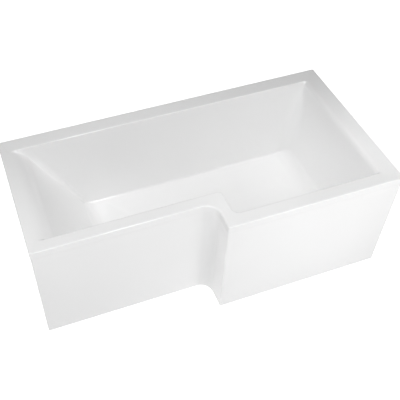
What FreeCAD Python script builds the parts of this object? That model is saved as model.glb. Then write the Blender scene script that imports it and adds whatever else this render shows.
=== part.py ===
"""L-shaped shower bath: a moulded acrylic shell on levelling legs, with front panel, waste and overflow.

Millimetres. X runs along the bath, with the wide shower end at +X. Y runs across it, with the wall side
at +Y. Z is up. The origin is on the floor, at the centre of the bath's outline.
"""
import FreeCAD, Part
import Sketcher
import math
import os
import re

# Driving dimensions: name, millimetres or a share, meaning
SIZES = (
    # outline
    ("bath_length", 1675, "outer length of the rim"),
    ("bath_width", 850, "outer width at the shower end"),
    ("step_depth", 150, "how far the shower end stands out past the backrest end"),
    ("wide_length", 860, "length of the wide shower end"),
    ("rim_height", 600, "floor to the rim's outer edge"),
    # rim
    ("sheet_wall", 5, "thickness of the reinforced acrylic"),
    ("lip_depth", 40, "height of the downturned lip"),
    ("rim_fall", 2.5, "fall of the rim towards the basin"),
    ("rim_edge_radius", 4, "rounding of the rim's outer edge"),
    ("rim_corner_radius", 8, "outer corners in plan"),
    ("rim_elbow_radius", 60, "inner corner of the L in plan"),
    ("rim_mouth_radius", 6, "rounding where the rim turns into the basin"),
    ("rim_back", 75, "rim width on the wall side"),
    ("rim_left", 87, "rim width behind the backrest"),
    ("rim_right", 92, "rim width at the shower end"),
    ("rim_narrow", 62, "rim width on the narrow front"),
    ("rim_wide", 68, "rim width on the wide front"),
    ("rim_step", 55, "rim width along the return of the L"),
    # basin
    ("floor_height", 165, "ground to the basin floor at its edges"),
    ("run_back", 50, "lean of the back wall from mouth to floor"),
    ("run_left", 260, "lean of the backrest"),
    ("run_right", 53, "lean of the shower end wall"),
    ("run_narrow", 63, "lean of the narrow front wall"),
    ("run_wide", 67, "lean of the wide front wall"),
    ("run_step", 52, "lean of the wall along the return"),
    ("basin_radius", 15, "long edges and upright corners of the basin"),
    ("head_radius", 100, "backrest into floor"),
    ("foot_radius", 50, "shower end wall into floor"),
    ("bend_radius", 20, "basin wall round the inner corner of the L"),
    ("nook_radius", 40, "basin wall in the nook beside the return"),
    ("tray_depth", 10, "fall of the floor to its centre line"),
    ("tray_channel", 20, "width of the level strip on the centre line"),
    ("tray_head_run", 150, "length of the fall at the backrest end"),
    ("tray_foot_run", 55, "length of the fall at the shower end"),
    # under the floor
    ("board_thickness", 18, "board bonded under the floor"),
    ("board_waste_radius", 60, "hole in the board round the waste"),
    ("cradle_width", 40, "steel channel, across"),
    ("cradle_height", 25, "steel channel, depth"),
    ("cradle_gauge", 2, "steel channel, thickness"),
    ("cradle_left_share", 0.23, "left channel, from the floor's head to the waste"),
    ("cradle_right_place", 410, "shower end of the rim to the right channel"),
    ("cradle_front_end", 45, "channel past the front leg"),
    ("cradle_back_end", 30, "channel past the back leg"),
    ("hat_height", 55, "centre leg bracket, depth"),
    ("hat_width", 44, "centre leg bracket, across its web"),
    ("hat_flange", 28, "centre leg bracket, each fixing flange"),
    ("hat_length", 60, "centre leg bracket, along the bath's width"),
    ("hat_place", 190, "waste to the centre leg"),
    # legs
    ("leg_wall_gap", 80, "back of the rim to the back legs"),
    ("leg_front_gap", 80, "front of the rim to the front legs"),
    ("rod_radius", 6, "threaded rod"),
    ("rod_chamfer", 1, "rod, bevel at its ends"),
    ("rod_clearance", 0.3, "room round a rod in its nuts and foot"),
    ("rod_hole_clearance", 0.8, "room round a rod in the steel"),
    ("rod_reach", 33, "rod above the channel"),
    ("centre_rod_reach", 29, "centre rod above its bracket's web"),
    ("nut_across_flats", 19, "lock nut"),
    ("nut_height", 10, "lock nut"),
    ("foot_radius_base", 30, "foot, sole"),
    ("foot_sole", 6, "foot, sole thickness under the rod"),
    ("foot_edge", 5, "foot, height of the sole's edge"),
    ("foot_socket_wall", 5, "foot, wall of the rod's socket"),
    ("foot_shoulder", 14, "foot, height where its cone meets the socket"),
    ("foot_height", 26, "foot, whole height"),
    # screws
    ("screw_radius", 2.5, "wood screw shank"),
    ("screw_clearance", 0.2, "room round a shank"),
    ("screw_head_radius", 5, "wood screw head"),
    ("screw_head_height", 3, "wood screw head"),
    ("board_screw_depth", 7, "screw into the board"),
    ("batten_screw_depth", 22, "screw into a rim batten"),
    ("cradle_screw_spacing", 240, "between the two screws of a channel"),
    # rim battens and wall brackets
    ("batten_width", 30, "timber under the rim"),
    ("bracket_spacing", 1000, "between the two wall brackets"),
    ("bracket_width", 50, "wall bracket, along the bath"),
    ("bracket_gauge", 3, "wall bracket, thickness"),
    ("bracket_drop", 60, "wall bracket, height of its wall plate"),
    ("bracket_slot_radius", 3.5, "wall bracket, half width of its slot"),
    ("bracket_slot_length", 20, "wall bracket, whole length of its slot"),
    ("bracket_screw_spacing", 26, "between the two screws of a bracket"),
    # front panel
    ("panel_wall", 4, "panel thickness"),
    ("panel_recess", 2, "panel face behind the lip's face"),
    ("panel_gap", 2, "panel below the lip"),
    ("panel_tongue_gap", 1, "tongue behind the lip"),
    ("panel_tongue_reach", 25, "tongue above the lip's lower edge"),
    ("panel_flange", 25, "panel's turned-in ends and foot"),
    ("panel_corner_radius", 6, "outer corner of the panel in plan"),
    ("clip_wall", 3, "panel clip, thickness"),
    ("clip_length", 40, "panel clip, along the rim"),
    ("clip_height", 26, "panel clip"),
    ("clip_lead", 2, "panel clip, bevel that leads the tongue in"),
    ("stay_width", 30, "panel stay, across"),
    ("stay_gauge", 2.5, "panel stay, thickness"),
    ("stay_lap", 30, "panel stay over the channel"),
    ("stay_height", 60, "panel stay, height behind the panel"),
    ("stay_screw_depth", 12, "screw through stay and channel"),
    # waste
    ("waste_share", 0.49, "waste and overflow, from the floor's head to the return of the L"),
    ("waste_hole_radius", 26, "hole in the floor"),
    ("waste_seat_radius", 44, "level seat round the waste"),
    ("waste_seat_depth", 1.5, "seat below the floor's centre line"),
    ("seal_thickness", 1.5, "washer under the flange"),
    ("flange_radius", 36, "waste flange"),
    ("flange_thickness", 3, "waste flange"),
    ("flange_flat", 10, "waste flange, level ring at its edge"),
    ("flange_dish", 4, "waste flange, depth of its dish"),
    ("tail_radius", 23.9, "outside of the waste's threaded tail"),
    ("tail_wall", 3.4, "wall of the tail"),
    ("tail_length", 100, "tail below the flange"),
    ("tail_window_width", 14, "window that lets the overflow in"),
    ("tail_window_height", 22, "window that lets the overflow in"),
    ("spider_height", 6, "cross bars in the tail"),
    ("spider_drop", 19, "flange's underside to the top of the cross bars"),
    ("spider_bar", 3, "width of a cross bar"),
    ("hub_radius", 9, "hub of the cross bars"),
    ("lower_seal_thickness", 3, "washer under the floor"),
    ("banjo_radius", 34, "overflow body round the tail"),
    ("banjo_height", 56, "overflow body round the tail"),
    ("banjo_clearance", 0.3, "room round the tail"),
    ("banjo_inlet_drop", 34, "top of the overflow body to its inlet"),
    ("banjo_inlet_length", 14, "inlet socket past the body"),
    ("banjo_chamber", 4, "depth of the water way inside the body"),
    ("back_nut_height", 10, "nut under the overflow body"),
    ("back_nut_across_flats", 62, "nut under the overflow body"),
    # plug
    ("post_radius", 7, "plug's guide post"),
    ("post_height", 20, "guide post above the hub"),
    ("stud_radius", 4, "guide post's stud in the hub"),
    ("stud_clearance", 0.1, "room round the stud"),
    ("plug_clearance", 0.06, "running fit of the plug on its post"),
    ("plug_sleeve_wall", 3, "plug's sleeve"),
    ("plug_sleeve_length", 20, "plug's sleeve below its cap"),
    ("plug_radius", 33, "plug's cap"),
    ("plug_thickness", 5, "plug's cap"),
    ("plug_edge_radius", 2, "rounding of the plug's cap"),
    ("plug_seal_width", 4, "plug's rubber ring"),
    ("plug_seal_thickness", 2, "plug's rubber ring"),
    ("plug_seal_inset", 2, "edge of the cap to the ring"),
    # overflow
    ("overflow_drop", 80, "rim to the overflow's centre"),
    ("overflow_hole_radius", 26, "hole in the narrow front wall"),
    ("cover_radius", 35, "overflow cover"),
    ("cover_height", 9, "overflow cover"),
    ("cover_wall", 2, "overflow cover"),
    ("cover_bevel", 5, "overflow cover, sloped edge"),
    ("cover_gap", 26, "overflow cover, width of its water gap"),
    ("elbow_radius", 33, "overflow body behind the wall"),
    ("elbow_wall", 3, "overflow body, wall"),
    ("elbow_depth", 42, "overflow body, depth"),
    ("elbow_boss_radius", 6, "overflow body, screw boss"),
    ("elbow_socket_drop", 53, "overflow's centre to the end of its pipe socket"),
    ("pipe_radius", 14, "overflow pipe, outside"),
    ("pipe_wall", 2, "overflow pipe"),
    ("pipe_bend", 55, "overflow pipe, bend to its centre line"),
    ("pipe_clearance", 0.2, "room round the pipe in its sockets"),
    ("pipe_insert", 12, "pipe inside each socket"),
    ("socket_wall", 4, "wall of a pipe socket"),
    ("pipe_nut_radius", 22.5, "nut round a pipe socket"),
    ("pipe_nut_height", 14, "nut round a pipe socket"),
    ("pipe_nut_lap", 10, "nut over its socket"),
    # cutting and matching
    ("overrun", 5, "how far a cut runs past the piece"),
    ("match", 0.001, "how near two places count as one"),
)

# Positions of the clips along each side of the L, as shares of the side
NARROW_CLIP_SHARES = (0.12, 0.5, 0.88)
WIDE_CLIP_SHARES = (0.12, 0.5, 0.88)
STEP_CLIP_SHARES = (0.5,)

# A face counts as level when this share of its normal points up or down
LEVEL_SHARE = 0.9

# Places worked out from the sizes
PLACES = {
    "x_left": "-bath_length / 2",
    "x_right": "bath_length / 2",
    "x_step": "bath_length / 2 - wide_length",
    "y_back": "bath_width / 2",
    "y_wide": "-bath_width / 2",
    "y_narrow": "step_depth - bath_width / 2",
    "z_lip": "rim_height - lip_depth",
    "z_mouth": "rim_height - rim_fall",
    "z_under_rim": "rim_height - rim_fall - sheet_wall",
    "basin_depth": "z_mouth - floor_height",
    "floor_left": "x_left + rim_left + run_left",
    "floor_right": "x_right - rim_right - run_right",
    "floor_back": "y_back - rim_back - run_back",
    "floor_narrow": "y_narrow + rim_narrow + run_narrow",
    "tray_left": "floor_left + head_radius",
    "tray_right": "floor_right - foot_radius",
    "tray_back": "floor_back - basin_radius",
    "tray_front": "floor_narrow + basin_radius",
    "y_drain": "(tray_back + tray_front) / 2",
    "floor_step": "x_step + rim_step + run_step",
    "x_drain": "tray_left + (floor_step - tray_left) * waste_share",
    "z_seat": "floor_height - tray_depth - waste_seat_depth",
    "z_board_top": "floor_height - sheet_wall",
    "z_board": "z_board_top - board_thickness",
    "x_cradle_left": "tray_left + (x_drain - tray_left) * cradle_left_share",
    "x_cradle_right": "x_right - cradle_right_place",
    "y_leg_back": "y_back - leg_wall_gap",
    "y_leg_narrow": "y_narrow + leg_front_gap",
    "y_leg_wide": "y_wide + leg_front_gap",
    "x_hat": "x_drain + hat_place",
    "z_hat_web": "z_board - hat_height + cradle_gauge",
    "tongue_outer": "sheet_wall + panel_tongue_gap",
    "tongue_inner": "tongue_outer + panel_wall",
    "batten_inset": "tongue_inner + clip_wall",
    "batten_inner": "batten_inset + batten_width",
    "z_panel_top": "z_lip - panel_gap",
    "panel_inner": "panel_recess + panel_wall",
    "z_flange": "z_seat + seal_thickness",
    "z_flange_top": "z_flange + flange_thickness",
    "z_tail_end": "z_flange - tail_length",
    "z_spider_top": "z_flange - spider_drop",
    "z_banjo_top": "z_seat - sheet_wall - lower_seal_thickness",
    "z_banjo": "z_banjo_top - banjo_height",
    "z_inlet": "z_banjo_top - banjo_inlet_drop",
    "z_plug": "z_flange_top + plug_seal_thickness",
    "tail_bore": "tail_radius - tail_wall",
    "socket_radius": "pipe_radius + pipe_clearance + socket_wall",
    "z_overflow": "rim_height - overflow_drop",
    "y_overflow": "y_narrow + rim_narrow + run_narrow * (z_mouth - z_overflow) / basin_depth",
    "lean_length": "sqrt(run_narrow ^ 2 + basin_depth ^ 2)",
    "lean_cos": "basin_depth / lean_length",
    "lean_sin": "run_narrow / lean_length",
    "wall_across": "sheet_wall * lean_cos",
    "elbow_face": "wall_across + seal_thickness",
    "y_pipe": "y_overflow - (elbow_face + elbow_depth / 2) * lean_cos",
    "z_elbow": "z_overflow - (elbow_face + elbow_depth / 2) * lean_sin",
    "z_elbow_socket": "z_overflow - elbow_socket_drop",
    "y_banjo_socket": "y_drain - banjo_radius - banjo_inlet_length",
}

DOC = FreeCAD.newDocument("shower_bath")
SIZE_NAMES = {name for name, number, note in SIZES}
NODES = []


def size_sheet():
    """The spreadsheet that drives every piece."""
    sheet = DOC.addObject("Spreadsheet::Sheet", "sizes")
    for row, (name, number, note) in enumerate(SIZES, start=1):
        sheet.set(f"A{row}", name)
        sheet.set(f"B{row}", str(number))
        sheet.setAlias(f"B{row}", name)
        sheet.set(f"C{row}", note)
    DOC.recompute()
    return sheet


SHEET = size_sheet()


def formula(text):
    """A formula on the size sheet, from the plain names of sizes and places."""
    def on_sheet(found):
        word = found.group()
        if word in PLACES:
            return "(" + formula(PLACES[word]) + ")"
        return "sizes." + word if word in SIZE_NAMES else word
    return re.sub(r"[a-z]+(?:_[a-z]+)*", on_sheet, text)


def value(text):
    """The number that a formula gives."""
    return float(SHEET.evalExpression(formula(text)))


def bind(piece, **formulas):
    """Tie a piece's properties to formulas on the size sheet."""
    for name, text in formulas.items():
        piece.setExpression(name, formula(text))


def place(piece, x="0", y="0", z="0", turn=None):
    """Put a piece at a place given by formulas, after turning it."""
    if turn is not None:
        piece.Placement = FreeCAD.Placement(FreeCAD.Vector(), turn)
    for axis, text in zip("xyz", (x, y, z)):
        piece.setExpression("Placement.Base." + axis, formula(text))
    return piece


def node(label, piece):
    """Name a finished piece and list it for export."""
    piece.Label = label
    NODES.append(piece)
    return piece


# Part solids and booleans
def cylinder(name, radius, height, x="0", y="0", z="0", turn=None):
    solid = DOC.addObject("Part::Cylinder", name)
    bind(solid, Radius=radius, Height=height)
    return place(solid, x, y, z, turn)


def box(name, length, width, height, x="0", y="0", z="0"):
    solid = DOC.addObject("Part::Box", name)
    bind(solid, Length=length, Width=width, Height=height)
    return place(solid, x, y, z)


def box_between(name, low, high):
    """A box from its lowest to its highest corner."""
    spans = [f"({top}) - ({bottom})" for bottom, top in zip(low, high)]
    return box(name, *spans, *low)


def hexagon(name, across_flats, height, x, y, z):
    solid = DOC.addObject("Part::Prism", name)
    solid.Polygon = 6
    bind(solid, Circumradius=f"({across_flats}) / sqrt(3)", Height=height)
    return place(solid, x, y, z)


def fuse(name, *pieces):
    whole = DOC.addObject("Part::MultiFuse", name)
    whole.Shapes = list(pieces)
    return whole


def cut(name, base, *tools):
    whole = DOC.addObject("Part::Cut", name)
    whole.Base = base
    whole.Tool = tools[0] if len(tools) == 1 else fuse(name + "_tools", *tools)
    return whole


def group(name, pieces):
    """Separate solids that share one node."""
    whole = DOC.addObject("Part::Compound", name)
    whole.Links = list(pieces)
    return whole


# Bodies, sketches and features
def new_body(name):
    return DOC.addObject("PartDesign::Body", name)


def new_sketch(body, name, height="0", plane="XY_Plane"):
    """A sketch on one of the body's own planes, moved along that plane's normal by height."""
    sketch = body.newObject("Sketcher::SketchObject", name)
    origin = [feature for feature in body.Origin.OriginFeatures if feature.Role == plane]
    sketch.AttachmentSupport = [(origin[0], "")]
    sketch.MapMode = "FlatFace"
    sketch.setExpression("AttachmentOffset.Base.z", formula(height))
    return sketch


def fix_point(sketch, curve, end, x, y):
    """Hold one end of a curve at a place given by formulas."""
    for kind, text in (("DistanceX", x), ("DistanceY", y)):
        number = sketch.addConstraint(Sketcher.Constraint(kind, -1, 1, curve, end, value(text)))
        sketch.setExpression(f"Constraints[{number}]", formula(text))


def outline(body, name, corners, height="0", plane="XY_Plane"):
    """A closed outline of straight sides through its corners."""
    sketch = new_sketch(body, name, height, plane)
    points = [FreeCAD.Vector(value(x), value(y), 0) for x, y in corners]
    for start, end in zip(points, points[1:] + points[:1]):
        sketch.addGeometry(Part.LineSegment(start, end))
    for side in range(len(points)):
        sketch.addConstraint(Sketcher.Constraint("Coincident", side, 2, (side + 1) % len(points), 1))
    for side, (x, y) in enumerate(corners):
        fix_point(sketch, side, 1, x, y)
    return sketch


def ring(body, name, radius, x="0", y="0", height="0"):
    """A circle."""
    sketch = new_sketch(body, name, height)
    centre = FreeCAD.Vector(value(x), value(y), 0)
    sketch.addGeometry(Part.Circle(centre, FreeCAD.Vector(0, 0, 1), value(radius)))
    fix_point(sketch, 0, 3, x, y)
    number = sketch.addConstraint(Sketcher.Constraint("Radius", 0, value(radius)))
    sketch.setExpression(f"Constraints[{number}]", formula(radius))
    return sketch


def pad(body, sketch, length):
    feature = body.newObject("PartDesign::Pad", sketch.Name + "_pad")
    feature.Profile = sketch
    bind(feature, Length=length)
    return feature


def pocket(body, sketch, length, upwards=False):
    """Cut away from the sketch, downwards unless told otherwise."""
    feature = body.newObject("PartDesign::Pocket", sketch.Name + "_pocket")
    feature.Profile = sketch
    feature.Reversed = upwards
    bind(feature, Length=length)
    return feature


def loft(body, upper, lower, cuts=False):
    """Straight-sided solid, or cut, between two outlines."""
    kind = "PartDesign::SubtractiveLoft" if cuts else "PartDesign::AdditiveLoft"
    feature = body.newObject(kind, upper.Name + "_loft")
    feature.Profile = upper
    feature.Sections = [lower]
    feature.Ruled = True
    return feature


def revolve(body, sketch):
    """Turn an upright half section round the body's Z axis."""
    feature = body.newObject("PartDesign::Revolution", sketch.Name + "_turned")
    feature.Profile = sketch
    feature.ReferenceAxis = (sketch, ["V_Axis"])
    feature.Angle = 360
    return feature


def turned(name, corners):
    """A body turned from a half section of radius and height pairs."""
    body = new_body(name)
    revolve(body, outline(body, name + "_section", corners, plane="XZ_Plane"))
    return body


def combine(body, kind, tool):
    """Join another body to this one, or cut this one with it."""
    feature = body.newObject("PartDesign::Boolean", f"{tool.Name}_{kind.lower()}")
    feature.Type = kind
    feature.setObjects([tool])
    return feature


def round_edges(body, radius, wanted):
    """Round the edges of the body's last feature that a test on the edge picks out."""
    DOC.recompute()
    last = body.Tip
    names = [f"Edge{number}" for number, edge in enumerate(last.Shape.Edges, start=1) if wanted(edge)]
    if not names:
        raise RuntimeError("no edge to round on " + body.Name)
    feature = body.newObject("PartDesign::Fillet", f"{body.Name}_round")
    feature.Base = (last, names)
    bind(feature, Radius=radius)
    return feature


def bore(body, name, radius, x, y, z, depth, upwards=False):
    """Drill a round hole from a level face, downwards unless told otherwise."""
    return pocket(body, ring(body, name, radius, x, y, z), depth, upwards)


def screw(name, x, y, z, depth, down=False):
    """A screw whose head bears on a face at z, with its shank running up from there, or down."""
    head = cylinder(name + "_head", "screw_head_radius", "screw_head_height", x, y,
                    z if down else f"{z} - screw_head_height")
    shank = cylinder(name + "_shank", "screw_radius", depth, x, y, f"{z} - ({depth})" if down else z)
    return fuse(name, head, shank)


def near(number, text):
    return math.isclose(number, value(text), abs_tol=value("match"))


def ends_at(edge, x=None, y=None, z=None):
    """Whether both ends of an edge lie on each plane that is given."""
    wanted = [(axis, text) for axis, text in (("x", x), ("y", y), ("z", z)) if text is not None]
    return all(near(getattr(point.Point, axis), text) for axis, text in wanted for point in edge.Vertexes)


def upright(edge):
    first, last = edge.Vertexes[0].Point, edge.Vertexes[-1].Point
    in_line = math.isclose(first.x, last.x) and math.isclose(first.y, last.y)
    return in_line and not math.isclose(first.z, last.z)


# Outlines of the L
def l_outline(back, left, right, narrow, wide, step):
    """Six corners of the L, each side drawn in from the rim's outer edge by its own amount."""
    x_low, x_high = f"x_left + ({left})", f"x_right - ({right})"
    y_high, x_return = f"y_back - ({back})", f"x_step + ({step})"
    y_near, y_far = f"y_narrow + ({narrow})", f"y_wide + ({wide})"
    return [(x_low, y_near), (x_return, y_near), (x_return, y_far),
            (x_high, y_far), (x_high, y_high), (x_low, y_high)]


def l_inset(inset):
    return l_outline(inset, inset, inset, inset, inset, inset)


def basin_insets(run_share, growth):
    """How far each basin wall lies inside the rim's outer edge, after a share of its lean."""
    return {side: f"(rim_{side} + run_{side} * ({run_share}) - {growth})"
            for side in ("back", "left", "right", "narrow", "wide", "step")}


def l_band(name, outer, inner, bottom, height, ends="panel_recess"):
    """An upright strip that follows the front of the L, between two distances behind the lip's face."""
    def path(inset):
        return [(f"x_left + {ends}", f"y_narrow + {inset}"), (f"x_step + {inset}", f"y_narrow + {inset}"),
                (f"x_step + {inset}", f"y_wide + {inset}"), (f"x_right - ({ends})", f"y_wide + {inset}")]
    body = new_body(name)
    pad(body, outline(body, name + "_outline", path(outer) + path(inner)[::-1], bottom), height)
    for inset in (outer, inner):
        round_edges(body, f"rim_elbow_radius + {inset}", lambda edge: upright(edge) and ends_at(
            edge, x=f"x_step + {inset}", y=f"y_narrow + {inset}"))
    round_edges(body, "panel_corner_radius", lambda edge: upright(edge) and ends_at(
        edge, x=f"x_step + {outer}", y=f"y_wide + {outer}"))
    return body


# Bath shell
def tray(body, name, top):
    """The floor's fall: a shallow hopper whose four faces meet on a narrow strip along the centre line."""
    mouth = [("tray_left", "tray_front"), ("tray_right", "tray_front"),
             ("tray_right", "tray_back"), ("tray_left", "tray_back")]
    x_low, x_high = "tray_left + tray_head_run", "tray_right - tray_foot_run"
    y_low, y_high = "y_drain - tray_channel / 2", "y_drain + tray_channel / 2"
    strip = [(x_low, y_low), (x_high, y_low), (x_high, y_high), (x_low, y_high)]
    upper = outline(body, name + "_mouth", mouth, top)
    lower = outline(body, name + "_strip", strip, f"{top} - tray_depth")
    return loft(body, upper, lower)


def basin_form(name, growth, top):
    """The basin as a solid: leaning walls, rounded edges, the floor's fall and the waste's seat.

    The walls keep their lean when they are thickened by growth, and run on up to the level of top.
    """
    body = new_body(name)
    floor = f"floor_height - {growth}"
    above = basin_insets(f"(z_mouth - ({top})) / basin_depth", growth)
    below = basin_insets(f"1 + {growth} / basin_depth", growth)
    loft(body, outline(body, name + "_mouth", l_outline(**above), top),
         outline(body, name + "_floor", l_outline(**below), floor))
    left, right = f"x_left + {below['left']}", f"x_right - {below['right']}"
    back, front = f"y_back - {below['back']}", f"y_narrow + {below['narrow']}"
    step, wide = f"x_step + {below['step']}", f"y_wide + {below['wide']}"
    round_edges(body, f"head_radius + {growth}", lambda edge: ends_at(edge, x=left, z=floor))
    round_edges(body, f"foot_radius + {growth}", lambda edge: ends_at(edge, x=right, z=floor))
    round_edges(body, f"bend_radius - {growth}", lambda edge: joins(edge, (step, front, floor)))
    round_edges(body, f"nook_radius + {growth}", lambda edge: joins(edge, (step, wide, floor)))
    round_edges(body, f"basin_radius + {growth}", lambda edge: ends_at(edge, y=back, z=floor))
    round_edges(body, f"basin_radius + {growth}", lambda edge: ends_at(edge, y=front, z=floor))
    tray(body, name + "_tray", floor)
    seat = ring(body, name + "_seat", f"waste_seat_radius + {growth}", "x_drain", "y_drain",
                f"z_seat - {growth}")
    pad(body, seat, f"{floor} - z_seat + {growth}")
    return body


def joins(edge, corner):
    """Whether a leaning edge runs up from a corner of the floor."""
    ends = [point.Point for point in edge.Vertexes]
    if len(ends) < 2 or math.isclose(ends[0].z, ends[1].z):
        return False
    return any(all(near(*pair) for pair in zip(end, corner)) for end in ends)


def mouth_edges(shape):
    """Edges where the rim turns down into the basin."""
    found = []
    lowest, highest = value("z_mouth - match"), value("rim_height - match")
    for edge in shape.Edges:
        heights = [point.Z for point in edge.Vertexes]
        if min(heights) < lowest or max(heights) > highest:
            continue
        slopes = []
        for face in shape.ancestorsOfType(edge, Part.Face):
            middle = edge.valueAt((edge.FirstParameter + edge.LastParameter) / 2)
            slopes.append(abs(face.normalAt(*face.Surface.parameter(middle)).z))
        if min(slopes) < LEVEL_SHARE < max(slopes):
            found.append(edge)
    return found


def bath_shell():
    """The moulded bath: rim with its downturned lip, basin, waste hole and overflow hole."""
    body = new_body("bath_shell_body")
    corners = l_inset("0")
    pad(body, outline(body, "rim_outline", corners, "z_lip"), "lip_depth")
    round_edges(body, "rim_elbow_radius", lambda edge: upright(edge) and ends_at(
        edge, x="x_step", y="y_narrow"))
    round_edges(body, "rim_corner_radius", lambda edge: upright(edge) and any(
        ends_at(edge, x=x, y=y) for x, y in corners[:1] + corners[2:]))
    round_edges(body, "rim_edge_radius", lambda edge: ends_at(edge, x="x_left", z="rim_height"))
    hollow = outline(body, "under_rim_outline", l_inset("sheet_wall"), "z_lip")
    pocket(body, hollow, "z_under_rim - z_lip", upwards=True)
    round_edges(body, "rim_elbow_radius + sheet_wall", lambda edge: upright(edge) and ends_at(
        edge, x="x_step + sheet_wall", y="y_narrow + sheet_wall"))
    fall_top = outline(body, "fall_outer", l_inset("rim_edge_radius"), "rim_height")
    fall_mouth = outline(body, "fall_mouth", l_outline(**basin_insets("0", "0")), "z_mouth")
    loft(body, fall_top, fall_mouth, cuts=True)
    combine(body, "Fuse", basin_form("basin_outside", "sheet_wall", "z_mouth"))
    combine(body, "Cut", basin_form("basin_inside", "0", "rim_height + overrun"))
    DOC.recompute()
    mouth = mouth_edges(body.Tip.Shape)
    round_edges(body, "rim_mouth_radius", lambda edge: any(edge.isSame(other) for other in mouth))
    bore(body, "waste_hole", "waste_hole_radius", "x_drain", "y_drain", "z_seat", "sheet_wall + overrun")
    drill = cylinder("overflow_drill", "overflow_hole_radius", "sheet_wall + 2 * overrun", "x_drain",
                     "y_overflow - (sheet_wall + overrun) * lean_cos",
                     "z_overflow - (sheet_wall + overrun) * lean_sin", overflow_turn())
    node("bath_shell", cut("bath_shell_cut", body, drill))


# Board, channels and legs under the floor
def base_board():
    """The board under the floor, bedded to the floor's fall and bored for the waste and the screws."""
    body = new_body("base_board_body")
    corners = l_outline("rim_back + run_back + basin_radius", "rim_left + run_left + head_radius",
                        "rim_right + run_right + foot_radius", "rim_narrow + run_narrow + basin_radius",
                        "rim_wide + run_wide + basin_radius", "rim_step + run_step + basin_radius")
    pad(body, outline(body, "board_outline", corners, "z_board"), "board_thickness")
    bed = new_body("tray_bed")
    tray(bed, "tray_bed", "z_board_top")
    combine(body, "Cut", bed)
    bore(body, "board_waste_hole", "board_waste_radius", "x_drain", "y_drain", "z_board_top",
         "board_thickness + overrun")
    for number, (x, y) in enumerate(cradle_screw_places() + hat_screw_places()):
        bore(body, f"board_pilot_{number}", "screw_radius + screw_clearance", x, y, "z_board",
             "board_screw_depth", upwards=True)
    node("base_board", body)


def cradle_screw_places():
    return [(x, f"y_drain {sign} cradle_screw_spacing / 2")
            for x in ("x_cradle_left", "x_cradle_right") for sign in "-+"]


def hat_screw_places():
    return [(f"x_hat {sign} (hat_width + hat_flange) / 2", "y_drain") for sign in "-+"]


def cradles():
    """Two steel channels, open downwards, that carry the board on four legs."""
    for side, y_front in (("left", "y_leg_narrow"), ("right", "y_leg_wide")):
        x = "x_cradle_" + side
        body = new_body(f"cradle_{side}_body")
        half, inner = "cradle_width / 2", "(cradle_width / 2 - cradle_gauge)"
        low, web = "z_board - cradle_height", "z_board - cradle_gauge"
        section = [(f"{x} - {half}", low), (f"{x} - {half}", "z_board"), (f"{x} + {half}", "z_board"),
                   (f"{x} + {half}", low), (f"{x} + {inner}", low), (f"{x} + {inner}", web),
                   (f"{x} - {inner}", web), (f"{x} - {inner}", low)]
        sketch = outline(body, f"cradle_{side}_section", section, "-(y_leg_back + cradle_back_end)",
                         "XZ_Plane")
        pad(body, sketch, f"y_leg_back + cradle_back_end - {y_front} + cradle_front_end")
        for y in ("y_leg_back", y_front):
            bore(body, f"cradle_{side}_{y}", "rod_radius + rod_hole_clearance", x, y, "z_board",
                 "cradle_gauge + overrun")
        screws = [place_of for place_of in cradle_screw_places() if place_of[0] == x]
        for number, (_, y) in enumerate(screws + [(x, stay_screw(y_front))]):
            bore(body, f"cradle_{side}_hole_{number}", "screw_radius + screw_clearance", x, y, "z_board",
                 "cradle_gauge + overrun")
        node("cradle_" + side, body)
    screws = [screw(f"cradle_screw_{number}", x, y, "z_board - cradle_gauge",
                    "cradle_gauge + board_screw_depth")
              for number, (x, y) in enumerate(cradle_screw_places())]
    node("cradle_screws", group("cradle_screw_group", screws))


def centre_leg_bracket():
    """A top-hat bracket, screwed to the board, that carries the centre leg."""
    body = new_body("centre_leg_bracket_body")
    wall, skin = "hat_width / 2", "(hat_width / 2 - cradle_gauge)"
    edge = "(hat_width / 2 + hat_flange)"
    web, low, under = "z_hat_web", "z_board - hat_height", "z_board - cradle_gauge"
    section = [(f"x_hat - {edge}", under), (f"x_hat - {wall}", under), (f"x_hat - {wall}", low),
               (f"x_hat + {wall}", low), (f"x_hat + {wall}", under), (f"x_hat + {edge}", under),
               (f"x_hat + {edge}", "z_board"), (f"x_hat + {skin}", "z_board"), (f"x_hat + {skin}", web),
               (f"x_hat - {skin}", web), (f"x_hat - {skin}", "z_board"), (f"x_hat - {edge}", "z_board")]
    sketch = outline(body, "hat_section", section, "-(y_drain + hat_length / 2)", "XZ_Plane")
    pad(body, sketch, "hat_length")
    bore(body, "hat_rod_hole", "rod_radius + rod_hole_clearance", "x_hat", "y_drain", web,
         "cradle_gauge + overrun")
    for number, (x, y) in enumerate(hat_screw_places()):
        bore(body, f"hat_hole_{number}", "screw_radius + screw_clearance", x, y, "z_board",
             "cradle_gauge + overrun")
    node("centre_leg_bracket", body)
    screws = [screw(f"hat_screw_{number}", x, y, "z_board - cradle_gauge",
                    "cradle_gauge + board_screw_depth")
              for number, (x, y) in enumerate(hat_screw_places())]
    node("centre_bracket_screws", group("centre_bracket_screw_group", screws))


# Each leg: name, place, top of the steel that its nuts clamp, and the rod's reach above that
LEGS = (
    ("back_left", "x_cradle_left", "y_leg_back", "z_board", "rod_reach"),
    ("front_left", "x_cradle_left", "y_leg_narrow", "z_board", "rod_reach"),
    ("back_right", "x_cradle_right", "y_leg_back", "z_board", "rod_reach"),
    ("front_right", "x_cradle_right", "y_leg_wide", "z_board", "rod_reach"),
    ("centre", "x_hat", "y_drain", "z_hat_web", "centre_rod_reach"),
)


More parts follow.
